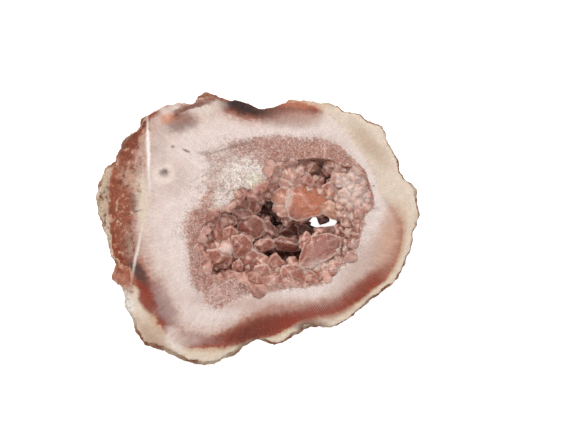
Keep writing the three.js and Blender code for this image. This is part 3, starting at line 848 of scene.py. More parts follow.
def mottled(tree, colour, position, layer_value):
    """Rust and beige in patches on the rind, cream and umber on the broken side."""
    off_face = maths(tree, "GREATER_THAN", layer_value, RIND_FROM_LAYER)
    patches = cloudy(tree, position, 0.11, 5.0)[0]
    rust_share = ranged(tree, patches, 0.47, 0.6)
    colour = paint(tree, maths(tree, "MULTIPLY", rust_share, off_face), colour, 146, 92, 66)
    pale_share = ranged(tree, patches, 0.46, 0.36)
    colour = paint(tree, maths(tree, "MULTIPLY", pale_share, off_face), colour, 206, 188, 164)
    broken = carried(tree, "broken")
    flecks = cloudy(tree, position, 0.42, 6.0)[0]
    cream = ranged(tree, flecks, 0.54, 0.68)
    colour = paint(tree, maths(tree, "MULTIPLY", cream, broken), colour, 206, 166, 142)
    umber = ranged(tree, flecks, 0.46, 0.33)
    return paint(tree, maths(tree, "MULTIPLY", umber, broken), colour, 138, 80, 60)


# %% Painted sparkles, specks and fibres
GRAIN_OF_SPECKS, GRAIN_OF_TOOTH = (0.5, 1.8), (0.8, 2.5)  # size in millimetres and contrast
FIBRES_ROUND, FIBRES_OUTWARDS = 44, 1.2  # fine round the hollow and coarse outwards, so they run outwards


def painted_sparkles_and_pores(tree, colour, position, shaken):
    """Painted sparkles, which are painted glints, and dark pores in the granular lining."""
    painted_glint_pattern = cloudy(tree, position, 1.5)[0]
    in_lining = ranged(tree, shaken, 1.4, 0.9, 0.12)
    painted_sparkle = product(tree, ranged(tree, painted_glint_pattern, 0.56, 0.66), in_lining, 0.38)
    colour = paint(tree, painted_sparkle, colour, 248, 238, 232)
    pore = product(tree, ranged(tree, painted_glint_pattern, 0.42, 0.32), in_lining, 0.5)
    return paint(tree, pore, colour, 118, 76, 64)


def varied_lightness(tree, banding, position, shaken):
    """The specks, and the lightness that they and the fibres running outwards through the wall give."""
    ring = vectors(tree, "MULTIPLY", banding, (FIBRES_ROUND, FIBRES_ROUND, FIBRES_OUTWARDS))
    fibres = cloudy(tree, ring, 1.0)[0]
    granular_share = ranged(tree, shaken, 1.25, 0.95, 0.42)
    specks = grain(tree, position, *GRAIN_OF_SPECKS)
    speckled = maths(tree, "MULTIPLY_ADD", maths(tree, "SUBTRACT", specks, 0.5), granular_share, 0.0)
    fibre_rise = ranged(tree, shaken, 1.7, 2.3, 0.2, 0.6)
    fibre_fall = ranged(tree, shaken, 2.9, 3.2, 0.0, -0.5)
    fibre_strength = maths(tree, "ADD", fibre_rise, fibre_fall)
    fibre_part = maths(tree, "MULTIPLY", maths(tree, "SUBTRACT", fibres, 0.5), fibre_strength)
    lightness = maths(tree, "ADD", maths(tree, "MULTIPLY", speckled, 0.75), fibre_part)
    return specks, maths(tree, "ADD", 1.0, lightness)


# %% Rock material
def build_rock():
    """The finish of the wall, the rind and the lining of the hollow."""
    material, tree, shader, position = new_material("banded_rock")
    banding, sawn = carried(tree, "banding", "Vector"), carried(tree, "sawn")
    layer_value = add_node(tree, "SeparateXYZ", {0: banding})["Z"]
    shaken, colour = banded_colour(tree, position, layer_value)

    # Stains lie on a strongly shaken plan, so that none is a clean ellipse, and lines on a steadier one.
    centred = centred_noise(tree, position, 0.35, 5.0)
    ragged = shaken_plan(tree, position, centred, 3.6)
    colour = lay_stains(tree, colour, ragged, STAINS_AND_SHADE)
    steady = shaken_plan(tree, position, centred, 1.1)
    colour = lay_stains(tree, colour, steady, LINES)
    colour = saw_marked(tree, colour, position, steady)
    colour = sliced_lining(tree, colour, ragged, shaken)
    colour = crusted(tree, colour, position, ragged)
    colour = mottled(tree, colour, position, layer_value)
    colour = painted_sparkles_and_pores(tree, colour, position, shaken)
    specks, brighter = varied_lightness(tree, banding, position, shaken)
    varied = add_node(tree, "HueSaturation", {"Color": colour, "Value": brighter})[0]

    # The sawn face is smoother than the rest, in its shine and in its relief.
    smooth_face = maths(tree, "MULTIPLY_ADD", specks, 0.3, 0.3)
    roughness = add_node(tree, "Mix", {"Factor": sawn, "A": 0.85, "B": smooth_face})[0]
    tooth_height = grain(tree, position, *GRAIN_OF_TOOTH)
    face_height = maths(tree, "MULTIPLY", specks, 0.16)
    relief = add_node(tree, "Mix", {"Factor": sawn, "A": tooth_height, "B": face_height})[0]
    bump = add_node(tree, "Bump", {"Height": relief, "Distance": 0.35 * MM, "Strength": 1.0})[0]
    fill_inputs(tree, shader, {
        "Base Color": varied, "Roughness": roughness, "Normal": bump, "Specular IOR Level": 0.22,
        "Subsurface Weight": 0.12, "Subsurface Radius": (1.0, 0.6, 0.5), "Subsurface Scale": 1.5 * MM,
    })
    return material


wall_mesh.materials.clear()
wall_mesh.materials.append(build_rock())
print("rock finish:", len(STAINS_AND_SHADE), "stains,", len(LINES), "lines,", len(BAND_COLOURS), "band colours")

# %% [markdown]
# ## Quartz
#
# Quartz is clear or milky, with a glassy skin. In a crowded hollow the light that reaches the eye has gone
# through many pink and rusty crystals, so the deeper ones look darker and redder. A full glass shader would
# be slow and grainy here. Light scattered under the surface, with a clear coat over it, gives the same soft
# glow, and a faint emission adds a painted glow. The darkening with depth is painted shade in the base
# colour. The edges of the crystals are chipped and frosted, so each corner of a crystal's mesh carries an
# "edge" value, high where the mesh is sharply convex, and the material paints it paler: partly frost, partly
# a painted highlight. Small painted glints are scattered over the quartz as well.

# %% Tints of the quartz
# tint, how white the frosted edges with their painted highlight are, how strongly the painted glints show
QUARTZ_FINISHES = {
    "rose_quartz": ((168, 106, 88), 0.72, 0.2),
    "pale_quartz": ((178, 122, 106), 0.42, 0.35),
    "amber_quartz": ((186, 112, 84), 0.72, 0.1),
    "crimson_quartz": ((158, 78, 62), 0.72, 0.2),
    "smoky_quartz": ((124, 64, 50), 0.72, 0.2),
}
MILKY_LIFT, RUDDY_SHARES = 34, (0.84, 0.70, 0.66)  # from the tint to its milky and its ruddy clouds
# Painted glow: a faint emission, strongest in the shallow quartz, that stands in for light passing through
# it.
PAINTED_GLOW_TINT, PAINTED_GLOW_STRENGTH = (158, 106, 90), 0.1  # light that has passed through the quartz
# Painted shade: the deeper quartz is painted darker and redder, towards this colour.
DEEP_PAINTED_SHADE = (92, 40, 30)
DEEP_START, DEEP_END, DEEPEST_SHADE_SHARE = 5.0, 14.5, 0.93  # the first two in millimetres under the sawn face

# Colour that differs from place to place, with one painted shadow, as the stains of the rock are written
QUARTZ_STAINS_AND_SHADOW = [
    ((196, 122, 90), (19.5, 9.8), 8.0, 5.6, -10, 0.4, 0.85),
    ((226, 200, 186), (11.2, 10.6), 3.8, 1.2, 80, 0.8, 0.7),
    ((150, 60, 38), (3.2, 15.4), 3.8, 2.2, 15, 0.4, 0.85),
    ((212, 158, 136), (7.8, 8.6), 3.4, 5.2, 0, 0.4, 0.85),
    ((212, 162, 132), (26.4, 6.8), 3.0, 3.4, 0, 0.4, 0.75),
    ((120, 66, 54), (7.5, 2.6), 7.0, 4.0, -30, 0.7, 0.6),
    ((132, 70, 56), (13.4, 1.4), 3.6, 3.6, 0, 0.5, 0.6),
    ((222, 192, 183), (33.2, 14.5), 5.6, 8.0, 0, 0.6, 0.85),
    ((180, 124, 108), (4.5, -17.2), 9.0, 4.6, 0, 0.7, 0.5),
    ((216, 168, 152), (9.5, 20.8), 7.5, 5.2, 0, 0.6, 0.75),
    ((234, 206, 194), (-11.8, -6.4), 3.0, 1.9, -30, 0.5, 0.85),
    ((156, 98, 82), (-2.9, -12.2), 4.2, 3.8, 0, 0.5, 0.6),
    # Painted shadow under the straight lip at the top of the mouth.
    ((126, 72, 58), (23.0, 22.4), 9.0, 1.9, 0, 0.6, 0.6),
    ((172, 116, 104), (23.5, -6.5), 7.5, 4.6, 20, 0.4, 0.7),
    ((226, 200, 190), (22.4, -12.4), 6.0, 2.0, 15, 0.7, 0.75),
    ((140, 88, 74), (32.4, -1.6), 5.8, 8.4, 0, 0.7, 0.85),
    ((124, 68, 54), (-13.6, -14.6), 4.2, 2.0, 0, 0.7, 0.7),
    ((168, 108, 92), (-4.0, 8.5), 6.0, 3.4, 25, 0.7, 0.5),
]


def clouded(tree, position, own, tint):
    """A tint with milky and ruddy clouds, darker or paler by the shade that each block has of its own."""
    clouds = cloudy(tree, position, 0.33, 4.0)[0]
    milky = screen_colour(*(min(255, value + MILKY_LIFT) for value in tint))
    ruddy = screen_colour(*(value * share for value, share in zip(tint, RUDDY_SHARES)))
    colour = blend_colours(tree, ranged(tree, clouds, 0.38, 0.62), ruddy, milky)
    darker = ranged(tree, own, 0.5, 0.0)
    paler = ranged(tree, own, 0.6, 1.0)
    colour = paint(tree, maths(tree, "MULTIPLY", darker, 0.8), colour, 150, 82, 64)
    return paint(tree, maths(tree, "MULTIPLY", paler, 0.6), colour, 222, 176, 160)


def build_quartz(name, tint, edge_frost_and_highlight, painted_glints):
    """Milky quartz of one tint, darker and redder with depth by painted shade, with frost and a painted
    highlight along its edges, painted glints and a faint painted glow.
    """
    material, tree, shader, position = new_material(name)
    edge, own = carried(tree, "edge"), carried(tree, "own_tint")
    height = add_node(tree, "SeparateXYZ", {0: position})["Z"]
    colour = clouded(tree, position, own, tint)
    level = shaken_plan(tree, position, centred_noise(tree, position, 0.5, 4.0), 2.4)
    colour = lay_stains(tree, colour, level, QUARTZ_STAINS_AND_SHADOW)

    # Painted shade: darker and redder with depth.
    depth = maths(tree, "SUBTRACT", FACE_MM, height)
    depth_shade_share = ranged(tree, depth, DEEP_START, DEEP_END, 0.0, DEEPEST_SHADE_SHARE, "SMOOTHSTEP")
    colour = paint(tree, depth_shade_share, colour, *DEEP_PAINTED_SHADE)

    # Frost with a painted highlight on the edges, and painted glints here and there, both weaker in the
    # depth.
    frost = grain(tree, position, 0.55, 2.6)
    frost_and_highlight_share = maths(tree, "MULTIPLY", edge, maths(tree, "MULTIPLY_ADD", depth_shade_share, -0.5, edge_frost_and_highlight))
    colour = paint(tree, frost_and_highlight_share, colour, 236, 202, 188)
    # Painted glints: small white highlights.
    painted_glint_pattern = ranged(tree, cloudy(tree, position, 1.5)[0], 0.58, 0.7)
    painted_glint_share = maths(tree, "MULTIPLY_ADD", depth_shade_share, -0.8 * painted_glints, painted_glints)
    colour = paint(tree, maths(tree, "MULTIPLY", painted_glint_pattern, painted_glint_share), colour, 246, 228, 218)
    lightness = maths(tree, "MULTIPLY_ADD", maths(tree, "SUBTRACT", frost, 0.5), 0.3, 1.0)
    varied = add_node(tree, "HueSaturation", {"Color": colour, "Value": lightness, "Saturation": 0.95})[0]

    # Painted glow: a faint emission that fades out where the painted depth shade is full.
    painted_glow = blend_colours(tree, depth_shade_share, screen_colour(*PAINTED_GLOW_TINT), screen_colour(*BLACK))
    roughness = maths(tree, "MULTIPLY_ADD", frost, 0.3, 0.12)
    bump = add_node(tree, "Bump", {"Height": frost, "Distance": 0.12 * MM, "Strength": 0.8})[0]
    coat = maths(tree, "MULTIPLY_ADD", depth_shade_share, -0.36, 0.36)
    fill_inputs(tree, shader, {
        "Base Color": varied, "Roughness": roughness, "Normal": bump, "Specular IOR Level": 0.22,
        "Coat Weight": coat, "Coat Roughness": 0.08,
        "Emission Color": painted_glow, "Emission Strength": PAINTED_GLOW_STRENGTH,
        "Subsurface Weight": 0.7, "Subsurface Radius": (1.0, 0.42, 0.3), "Subsurface Scale": 3.6 * MM,
    })
    return material


quartz = {name: build_quartz(name, *finish) for name, finish in QUARTZ_FINISHES.items()}
print("quartz finishes:", ", ".join(quartz))


# %% [markdown]
# ## The larger crystals
#
# Each CAD crystal is a plain hexagonal spindle. The real ones are blocky, squeezed together, and chipped.
# They could be cut face by face, but a hull stretched round a few corners gives flat facets at once. The
# crystals that stand out get an outline of their own, as seen from above: a few corners, each with its
# depth under the sawn face. The block under the outline narrows as it goes down into the lining. The others
# grow from their CAD crystal, with uneven corners. All are remeshed and smoothed a little, which wears the
# edges round, and what would stand above the sawn face is cut off flat, as the saw did.

# %% Outlines from above: x, y and depth under the sawn face, in millimetres
CRYSTAL_OUTLINES = {
    "orange_slab": [
        (12.5, 14.7, 4.5), (15.8, 15.9, 5.0), (19.6, 16.0, 6.0), (23.2, 14.3, 6.5), (25.0, 11.2, 6.0),
        (25.2, 8.5, 5.5), (23.5, 6.3, 5.5), (19.4, 4.9, 5.0), (14.7, 3.8, 4.8), (12.0, 4.9, 4.5),
        (10.7, 8.7, 3.6), (11.1, 12.4, 3.6),
    ],
    "orange_left": [
        (5.9, 13.6, 6.0), (8.7, 15.3, 5.0), (11.0, 14.9, 4.2), (11.1, 11.2, 4.2), (10.0, 8.8, 5.0),
        (6.8, 8.8, 6.0), (5.1, 10.6, 7.0),
    ],
    "orange_lower": [
        (5.6, 8.8, 7.0), (7.9, 9.5, 6.0), (11.0, 8.8, 4.6), (12.8, 4.7, 5.2), (10.0, 4.0, 6.5),
        (7.4, 4.9, 7.0), (5.7, 6.7, 7.5),
    ],
    "tan_lobe": [
        (23.9, 9.1, 6.0), (26.2, 10.3, 5.0), (28.6, 8.5, 5.0), (29.9, 5.9, 5.5), (28.5, 3.7, 6.0),
        (26.7, 3.9, 6.5), (25.0, 5.1, 6.5), (23.7, 6.3, 6.0),
    ],
    "tan_upper": [
        (23.5, 15.7, 6.5), (26.2, 17.2, 6.0), (28.2, 15.1, 6.2), (28.4, 12.5, 7.0), (26.4, 10.3, 7.0),
        (24.8, 11.2, 6.8), (23.2, 14.2, 6.8),
    ],
    "pale_rimmed": [
        (14.7, 19.6, 5.0), (16.7, 21.3, 4.2), (18.6, 20.1, 4.2), (20.3, 17.8, 4.8), (19.6, 15.8, 5.2),
        (16.4, 15.8, 6.0), (15.0, 17.2, 5.6),
    ],
    "upper_mid_block": [
        (10.0, 23.5, 3.5), (13.4, 24.4, 3.5), (15.8, 22.3, 3.8), (15.1, 19.6, 4.6), (12.8, 18.7, 5.0),
        (10.5, 20.2, 4.5),
    ],
    "upper_left_block": [
        (3.9, 22.9, 3.2), (7.4, 24.1, 3.2), (10.2, 23.5, 3.5), (10.5, 20.2, 4.4), (7.9, 18.4, 5.0),
        (4.9, 19.0, 4.5), (3.8, 20.8, 4.0),
    ],
    "upper_low_block": [
        (7.4, 18.7, 5.0), (10.6, 20.2, 4.8), (14.5, 18.7, 5.0), (15.1, 16.3, 5.5), (12.8, 15.1, 5.2),
        (8.9, 15.3, 5.2), (7.1, 16.6, 6.0),
    ],
    "crimson_shard": [
        (0.2, 15.1, 7.0), (3.2, 16.9, 5.5), (6.1, 17.2, 6.0), (7.1, 14.8, 7.0), (5.6, 12.4, 8.0),
        (3.2, 12.9, 8.0), (1.1, 13.6, 8.0),
    ],
    "amber_ledge": [
        (1.4, 12.7, 8.0), (3.8, 12.9, 7.5), (6.1, 11.8, 7.5), (5.6, 10.3, 8.5), (3.2, 10.6, 9.0),
    ],
    "small_pale_knob": [
        (-7.3, 14.3, 5.0), (-5.6, 15.1, 4.5), (-3.6, 14.2, 4.7), (-3.3, 12.5, 5.2), (-5.2, 11.6, 5.5),
        (-6.9, 12.3, 5.5),
    ],
    "brown_upper": [
        (-2.8, 11.2, 7.6), (-0.1, 12.1, 7.2), (1.2, 10.3, 8.0), (0.8, 7.0, 8.6), (-1.6, 5.5, 9.0),
        (-3.6, 7.6, 8.5),
    ],
    "pink_upper_west": [
        (-10.3, 8.8, 6.0), (-8.5, 10.6, 5.5), (-5.2, 11.2, 6.0), (-3.1, 10.0, 7.0), (-3.6, 7.6, 7.5),
        (-7.0, 6.7, 7.5), (-9.7, 7.3, 6.5),
    ],
    "rose_slope": [
        (-9.4, 6.7, 7.0), (-5.8, 7.6, 7.0), (-2.8, 7.0, 8.0), (-1.9, 4.9, 8.5), (-5.2, 3.4, 8.5),
        (-8.5, 4.0, 8.0),
    ],
    "rose_smooth": [
        (-14.8, 4.6, 6.0), (-11.8, 5.8, 6.0), (-8.5, 4.6, 7.0), (-7.9, 2.2, 7.5), (-10.6, 0.7, 7.0),
        (-13.6, 1.6, 6.6),
    ],
    "big_round": [
        (-6.9, 2.2, 8.5), (-4.6, 4.3, 8.0), (-1.1, 4.6, 7.9), (1.8, 2.8, 8.4), (1.9, -0.2, 8.8),
        (0.4, -2.6, 9.0), (-2.8, -3.5, 9.0), (-5.8, -2.6, 9.0), (-7.2, -0.2, 9.0),
    ],
    "centre_right": [
        (1.9, 2.2, 9.0), (3.8, 3.1, 9.5), (6.1, 0.4, 10.0), (6.8, -2.3, 10.5), (4.4, -3.8, 10.5),
        (1.9, -2.6, 10.0),
    ],
    "left_hanging": [
        (-17.2, -0.2, 4.0), (-16.9, 3.4, 3.4), (-14.2, 4.6, 3.6), (-12.7, 0.4, 4.4), (-13.0, -3.2, 5.0),
        (-14.5, -4.7, 5.0), (-16.3, -3.8, 4.8),
    ],
    "pale_step": [
        (-12.7, -0.2, 4.5), (-9.7, 1.0, 4.5), (-7.3, -0.8, 5.0), (-7.6, -3.2, 5.0), (-10.6, -3.8, 4.5),
        (-12.4, -2.6, 4.5),
    ],
    "left_sawn": [
        (-14.4, -7.1, 0.0), (-10.3, -3.5, 0.0), (-9.0, -6.8, 0.2), (-9.7, -9.3, 0.5), (-13.0, -8.5, 0.3),
    ],
    "left_block": [
        (-18.0, -7.7, 1.5), (-14.5, -7.3, 0.8), (-13.0, -8.7, 0.8), (-9.7, -9.5, 1.2), (-10.3, -11.3, 2.5),
        (-13.6, -12.8, 3.0), (-16.6, -12.5, 2.6), (-18.1, -10.1, 2.0),
    ],
    "pink_step": [
        (-9.1, -2.6, 3.5), (-5.2, -2.0, 3.5), (-2.6, -4.1, 4.5), (-2.2, -6.8, 5.0), (-5.2, -9.8, 5.0),
        (-8.5, -9.8, 4.0), (-9.3, -6.5, 3.2),
    ],
    "long_lying": [
        (-1.6, -6.1, 8.0), (0.4, -4.1, 7.6), (3.8, -3.3, 7.6), (5.6, -4.4, 8.0), (5.2, -6.8, 8.2),
        (1.9, -7.9, 8.2), (-0.6, -7.4, 8.4),
    ],
    "lower_hex": [
        (5.7, -4.1, 9.0), (8.6, -2.6, 9.2), (12.8, -4.1, 9.5), (15.8, -6.2, 10.0), (14.5, -7.9, 10.5),
        (10.4, -8.0, 10.5), (7.4, -7.4, 10.0), (5.9, -5.9, 9.5),
    ],
    "dark_hex_west": [
        (7.4, -1.4, 12.5), (10.0, 2.8, 12.0), (12.8, 4.5, 12.5), (14.1, 2.8, 13.0), (13.4, -1.4, 13.5),
        (11.0, -2.6, 13.5),
    ],
    "dark_hex_east": [
        (14.5, 2.2, 12.5), (17.8, 1.4, 12.4), (19.9, -0.6, 13.0), (19.4, -3.8, 14.0), (16.6, -6.2, 14.0),
        (14.9, -2.6, 13.0),
    ],
    "below_hole": [
        (20.6, 0.4, 9.5), (25.4, 0.3, 9.0), (29.6, 1.4, 9.0), (30.2, -1.7, 9.5), (26.6, -3.5, 10.0),
        (21.8, -2.9, 10.0),
    ],
    "smooth_red": [
        (-7.3, -9.8, 5.5), (-4.6, -7.7, 5.0), (-1.9, -7.4, 5.0), (1.1, -9.8, 5.4), (1.4, -13.4, 6.0),
        (-1.6, -16.4, 6.5), (-5.2, -15.8, 6.5), (-6.9, -12.8, 6.0),
    ],
    "bright_small": [
        (-9.1, -12.2, 3.8), (-6.9, -10.7, 3.6), (-5.4, -12.8, 4.0), (-6.0, -14.9, 4.5), (-8.2, -15.2, 4.5),
        (-9.3, -14.0, 4.2),
    ],
    "under_ledge": [
        (-15.4, -13.4, 7.0), (-11.8, -12.8, 7.0), (-8.5, -15.5, 8.0), (-11.2, -17.6, 8.0),
        (-14.2, -17.9, 8.0),
    ],
    "bright_tip": [
        (4.7, -9.8, 2.4), (6.6, -8.7, 2.1), (8.6, -11.0, 2.8), (10.0, -12.8, 3.2), (8.6, -14.6, 3.5),
        (4.9, -14.6, 3.5), (3.8, -12.2, 3.0),
    ],
    "bottom_west_block": [
        (-1.9, -17.0, 3.0), (-0.8, -13.4, 2.2), (3.2, -12.8, 2.0), (4.7, -15.2, 2.6), (4.4, -18.8, 3.4),
        (0.8, -20.0, 3.4),
    ],
    "bottom_east_sawn": [
        (9.1, -13.4, 0.6), (13.4, -12.8, 0.6), (16.4, -13.7, 0.8), (16.6, -18.2, 1.2), (13.4, -19.4, 1.2),
        (9.8, -18.8, 0.8), (8.6, -16.1, 0.6),
    ],
    "bottom_right_granular": [
        (16.4, -13.4, 1.5), (20.5, -15.8, 1.6), (23.0, -19.4, 1.8), (19.4, -20.3, 1.5), (16.4, -18.8, 1.5),
    ],
    "mauve_sawn": [
        (15.8, -9.8, 0.3), (17.0, -6.2, 0.1), (19.6, -2.9, 0.0), (24.8, -2.1, 0.0), (29.0, -3.2, 0.0),
        (29.2, -6.8, 0.0), (26.0, -9.8, 0.0), (22.0, -11.3, 0.0), (19.4, -13.4, 0.0), (15.8, -12.8, 0.2),
    ],
    "white_needle": [
        (24.8, 21.7, 2.8), (26.0, 22.3, 2.6), (29.2, 20.2, 2.6), (28.4, 19.1, 3.0), (25.4, 20.8, 3.0),
    ],
    "right_upper_sawn": [
        (27.8, 18.4, 1.6), (30.8, 20.2, 1.6), (33.5, 19.6, 1.4), (33.8, 16.9, 1.4), (31.4, 15.3, 1.8),
        (29.0, 15.7, 2.0),
    ],
    "right_mid_sawn": [
        (29.5, 13.9, 1.8), (32.5, 15.4, 1.4), (35.9, 14.2, 1.2), (36.4, 11.5, 1.2), (33.8, 10.0, 1.6),
        (30.8, 11.2, 2.0),
    ],
}


# %% Crystal helpers
JUST_UNDER_FACE, JUST_OVER_FACE = FACE_Z - 0.02 * MM, FACE_Z + 0.05 * MM
FLAT_WITHIN = math.radians(7)  # facets that meet at less than this are made one


def cut_flat(bm, height):
    """Takes away what is above a height and closes the cut."""
    geometry = bm.verts[:] + bm.edges[:] + bm.faces[:]
    plane = {"plane_co": Vector((0, 0, height)), "plane_no": (0, 0, 1)}
    cut = bmesh.ops.bisect_plane(bm, geom=geometry, dist=1e-6, clear_outer=True, **plane)
    rim = [item for item in cut["geom_cut"] if isinstance(item, bmesh.types.BMEdge)]
    if rim:
        bmesh.ops.holes_fill(bm, edges=rim)


def hull_of(points):
    """A closed faceted solid round a cloud of points."""
    bm = bmesh.new()
    for point in points:
        bm.verts.new(point)
    hull = bmesh.ops.convex_hull(bm, input=bm.verts)
    inside = [item for item in hull["geom_interior"] if isinstance(item, bmesh.types.BMVert)]
    bmesh.ops.delete(bm, geom=inside, context="VERTS")
    bmesh.ops.dissolve_limit(bm, angle_limit=FLAT_WITHIN, verts=bm.verts, edges=bm.edges)
    return bm


def mesh_from(bm, name):
    """Moves a bmesh into a new mesh."""
    bmesh.ops.recalc_face_normals(bm, faces=bm.faces)
    mesh = bpy.data.meshes.new(name)
    bm.to_mesh(mesh)
    bm.free()
    return mesh


# %% Corners of the larger crystals
SHOULDER_SPREAD, SHOULDER_DROP = 1.16, 0.14  # the outline lies on a slope, so the widest ring is out and down
ROOT_SPREAD, ROOT_DEPTH = 0.85, 7.0
PEAKS, PEAK_WANDER, PEAK_RISE = 2, 0.4, (0.04, 0.2)  # the last two as shares of the crystal's size
UNEVEN_SPREAD = (1.08, 1.36)
random.seed(5)


def outlined_points(outline):
    """Corners of a block under an outline, with one or two low peaks inside it."""
    corners = [Vector((x, y, FACE_MM - depth)) for x, y, depth in outline]
    middle = sum(corners, Vector()) / len(corners)
    size = max((corner - middle).length for corner in corners)
    points = []
    for corner in corners:
        out = corner - middle
        points.append(middle + out * SHOULDER_SPREAD + Vector((0, 0, -SHOULDER_DROP * size)))
        points.append(middle + out * ROOT_SPREAD + Vector((0, 0, -ROOT_DEPTH)))
    for _ in range(PEAKS):
        across = [random.uniform(-PEAK_WANDER, PEAK_WANDER) for _ in range(2)]
        peak = Vector((*across, 0)) * size
        points.append(middle + peak + Vector((0, 0, random.uniform(*PEAK_RISE) * size)))
    return [point * MM for point in points]


def uneven_points(node_name):
    """The corners of a CAD crystal, spread out a little and shaken."""
    corners = [vert.co.copy() for vert in frame["nodes"][node_name].data.vertices]
    middle = sum(corners, Vector()) / len(corners)
    points = []
    for corner in sorted(corners, key=lambda co: tuple(co)):
        out = corner - middle
        shake = random.uniform(*UNEVEN_SPREAD)
        points.append(middle + Vector((out.x * shake, out.y * shake, out.z)))
    return points


# %% [markdown]
# A hull has hard, perfect edges, and a Bevel would keep them even all along. Remeshing it into small
# squares, smoothing those a little and adding small lumps wears the edges unevenly, as on the real
# crystals. Where the skin is still sharply convex, frost and a painted highlight will show, so that is
# measured before the lumps go in and is spread over its neighbours.

# %% The worn skin of the crystals
EDGE_GAIN, EDGE_START = 10, 0.12  # from how far a corner stands out, in voxels, to its sharpness
# How far the frost and painted edge highlight spread from the sharpest corners, and how strong they get.
FROST_AND_HIGHLIGHT_SPREADS, FROST_AND_HIGHLIGHT_KEPT, FROST_AND_HIGHLIGHT_GAIN = 3, 0.45, 2.3
BROAD_LUMP, SMALL_LUMP = 2.6, 0.9  # millimetres


def softened(mesh, voxel, smoothing, lumpiness, seed, height=JUST_UNDER_FACE):
    """A worn, slightly lumpy skin over faceted solids, with its convex edges marked for the frost and the
    painted edge highlight.
    """
    skin = remeshed(mesh, voxel)
    bm = bmesh.new()
    bm.from_mesh(skin)
    all_ways = {"use_axis_x": True, "use_axis_y": True, "use_axis_z": True}
    for _ in range(smoothing):
        bmesh.ops.smooth_vert(bm, verts=bm.verts, factor=0.5, **all_ways)
    bm.normal_update()
    frost_and_highlight_layer = bm.verts.layers.float.new("edge")
    moves, sharpness = [], {}
    for vert in bm.verts:
        near = [edge.other_vert(vert).co for edge in vert.link_edges]
        middle = sum(near, Vector()) / len(near)
        stands_out = (vert.co - middle).dot(vert.normal) / voxel
        sharpness[vert] = min(1.0, max(0.0, stands_out * EDGE_GAIN - EDGE_START))
        where = vert.co / MM + Vector((seed, -seed, seed))
        lump = 0.6 * noise.noise(where / BROAD_LUMP) + 0.4 * noise.noise(where / SMALL_LUMP)
        moves.append(vert.normal * lump * lumpiness * MM)
    for _ in range(FROST_AND_HIGHLIGHT_SPREADS):
        spread = {}
        for vert in bm.verts:
            near = [sharpness[edge.other_vert(vert)] for edge in vert.link_edges]
            spread[vert] = FROST_AND_HIGHLIGHT_KEPT * sharpness[vert] + (1 - FROST_AND_HIGHLIGHT_KEPT) * sum(near) / len(near)
        sharpness = spread
    for vert, move in zip(bm.verts, moves):
        vert[frost_and_highlight_layer] = min(1.0, FROST_AND_HIGHLIGHT_GAIN * sharpness[vert])
        vert.co += move
    cut_flat(bm, height)
    for face in bm.faces:
        face.smooth = True
    bm.to_mesh(skin)
    bm.free()
    return skin


def place_piece(name, mesh, slot_name):
    """Puts a mesh in the scene as a piece of the object, with the finish of its slot."""
    mesh.name = name
    mesh.materials.clear()
    mesh.materials.append(quartz[slot_name])
    piece = bpy.data.objects.new(name, mesh)
    bpy.context.scene.collection.objects.link(piece)
    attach(piece, "root")
    return piece


# %% Make the larger crystals
CRYSTAL_VOXEL, CRYSTAL_LUMPINESS = 0.32 * MM, 0.5
slot_of = {entry["node"]: entry["material_slot"] for entry in frame["record"]["subparts"]}


def grown_crystal(node_name):
    """The visible crystal for one CAD crystal."""
    outline = CRYSTAL_OUTLINES.get(node_name.replace("crystal_", "", 1))
    bm = hull_of(outlined_points(outline) if outline else uneven_points(node_name))
    mesh = softened(mesh_from(bm, "facets"), CRYSTAL_VOXEL, 1, CRYSTAL_LUMPINESS, random.uniform(0, 50))
    piece = place_piece("grown_" + node_name, mesh, slot_of[node_name])
    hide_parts(node_name)
    return piece


large_crystals = [grown_crystal(name) for name in crystal_names]
print("larger crystals:", len(large_crystals), "of which outlined:", len(CRYSTAL_OUTLINES))

# %% [markdown]
# ## The smaller crystals between them
#
# A hollow like this is packed: wherever there is room, smaller blocks grow. Scattering copies of one
# crystal would show its repeats, so every block here has corners of its own. The blocks stand on jittered
# grids over the mouth, in three passes from coarse to fine, and each looks up how high the large crystals
# near it reach, so that it stays a little lower. Two deep gaps and the hole stay open. A ring of
# flat-topped blocks along the mouth was cut by the saw together with the wall, so it breaks up the mouth's
# edge. Only under the straight lip at the top is the edge left clean.

# %% Heights of what is already there
LOOK_ABOVE, LOOK_STEPS = 0.01, 8  # metres above the face to look down from, and looks in each ring
tops = bmesh.new()
for piece in large_crystals:
    tops.from_mesh(piece.data)
tops_tree = BVHTree.FromBMesh(tops)
tops.free()


def height_at(x, y):
    """How high the large crystals reach at a place in millimetres, or None."""
    hit = tops_tree.ray_cast(Vector((x * MM, y * MM, FACE_Z + LOOK_ABOVE)), Vector((0, 0, -1)))[0]
    return hit.z / MM if hit else None


def heights_near(x, y, radius):
    """The heights of the large crystals round a place."""
    found = []
    for step in range(LOOK_STEPS):
        bearing = step * math.tau / LOOK_STEPS
        found.append(height_at(x + radius * math.cos(bearing), y + radius * math.sin(bearing)))
    return sorted(value for value in found if value is not None)


# %% Places in the hollow, in millimetres
# Ovals: centre x and y, half length, half width
DARK_GAPS = [(3.6, 6.8, 2.6, 3.2), (8.6, -8.8, 6.4, 1.9)]  # nothing stands high here
LIGHT_HOLE = (22.9, 2.5, 7.4, 3.2)  # the grids leave this open, and the floor shows through
UPPER_CLUSTER = (9.0, 21.5, 7.5, 4.5)  # small crystals that stand nearly up to the face
RIGHT_CRUST = (33.0, 12.0, 6.0, 10.0)  # small crystals that stand a little higher than elsewhere
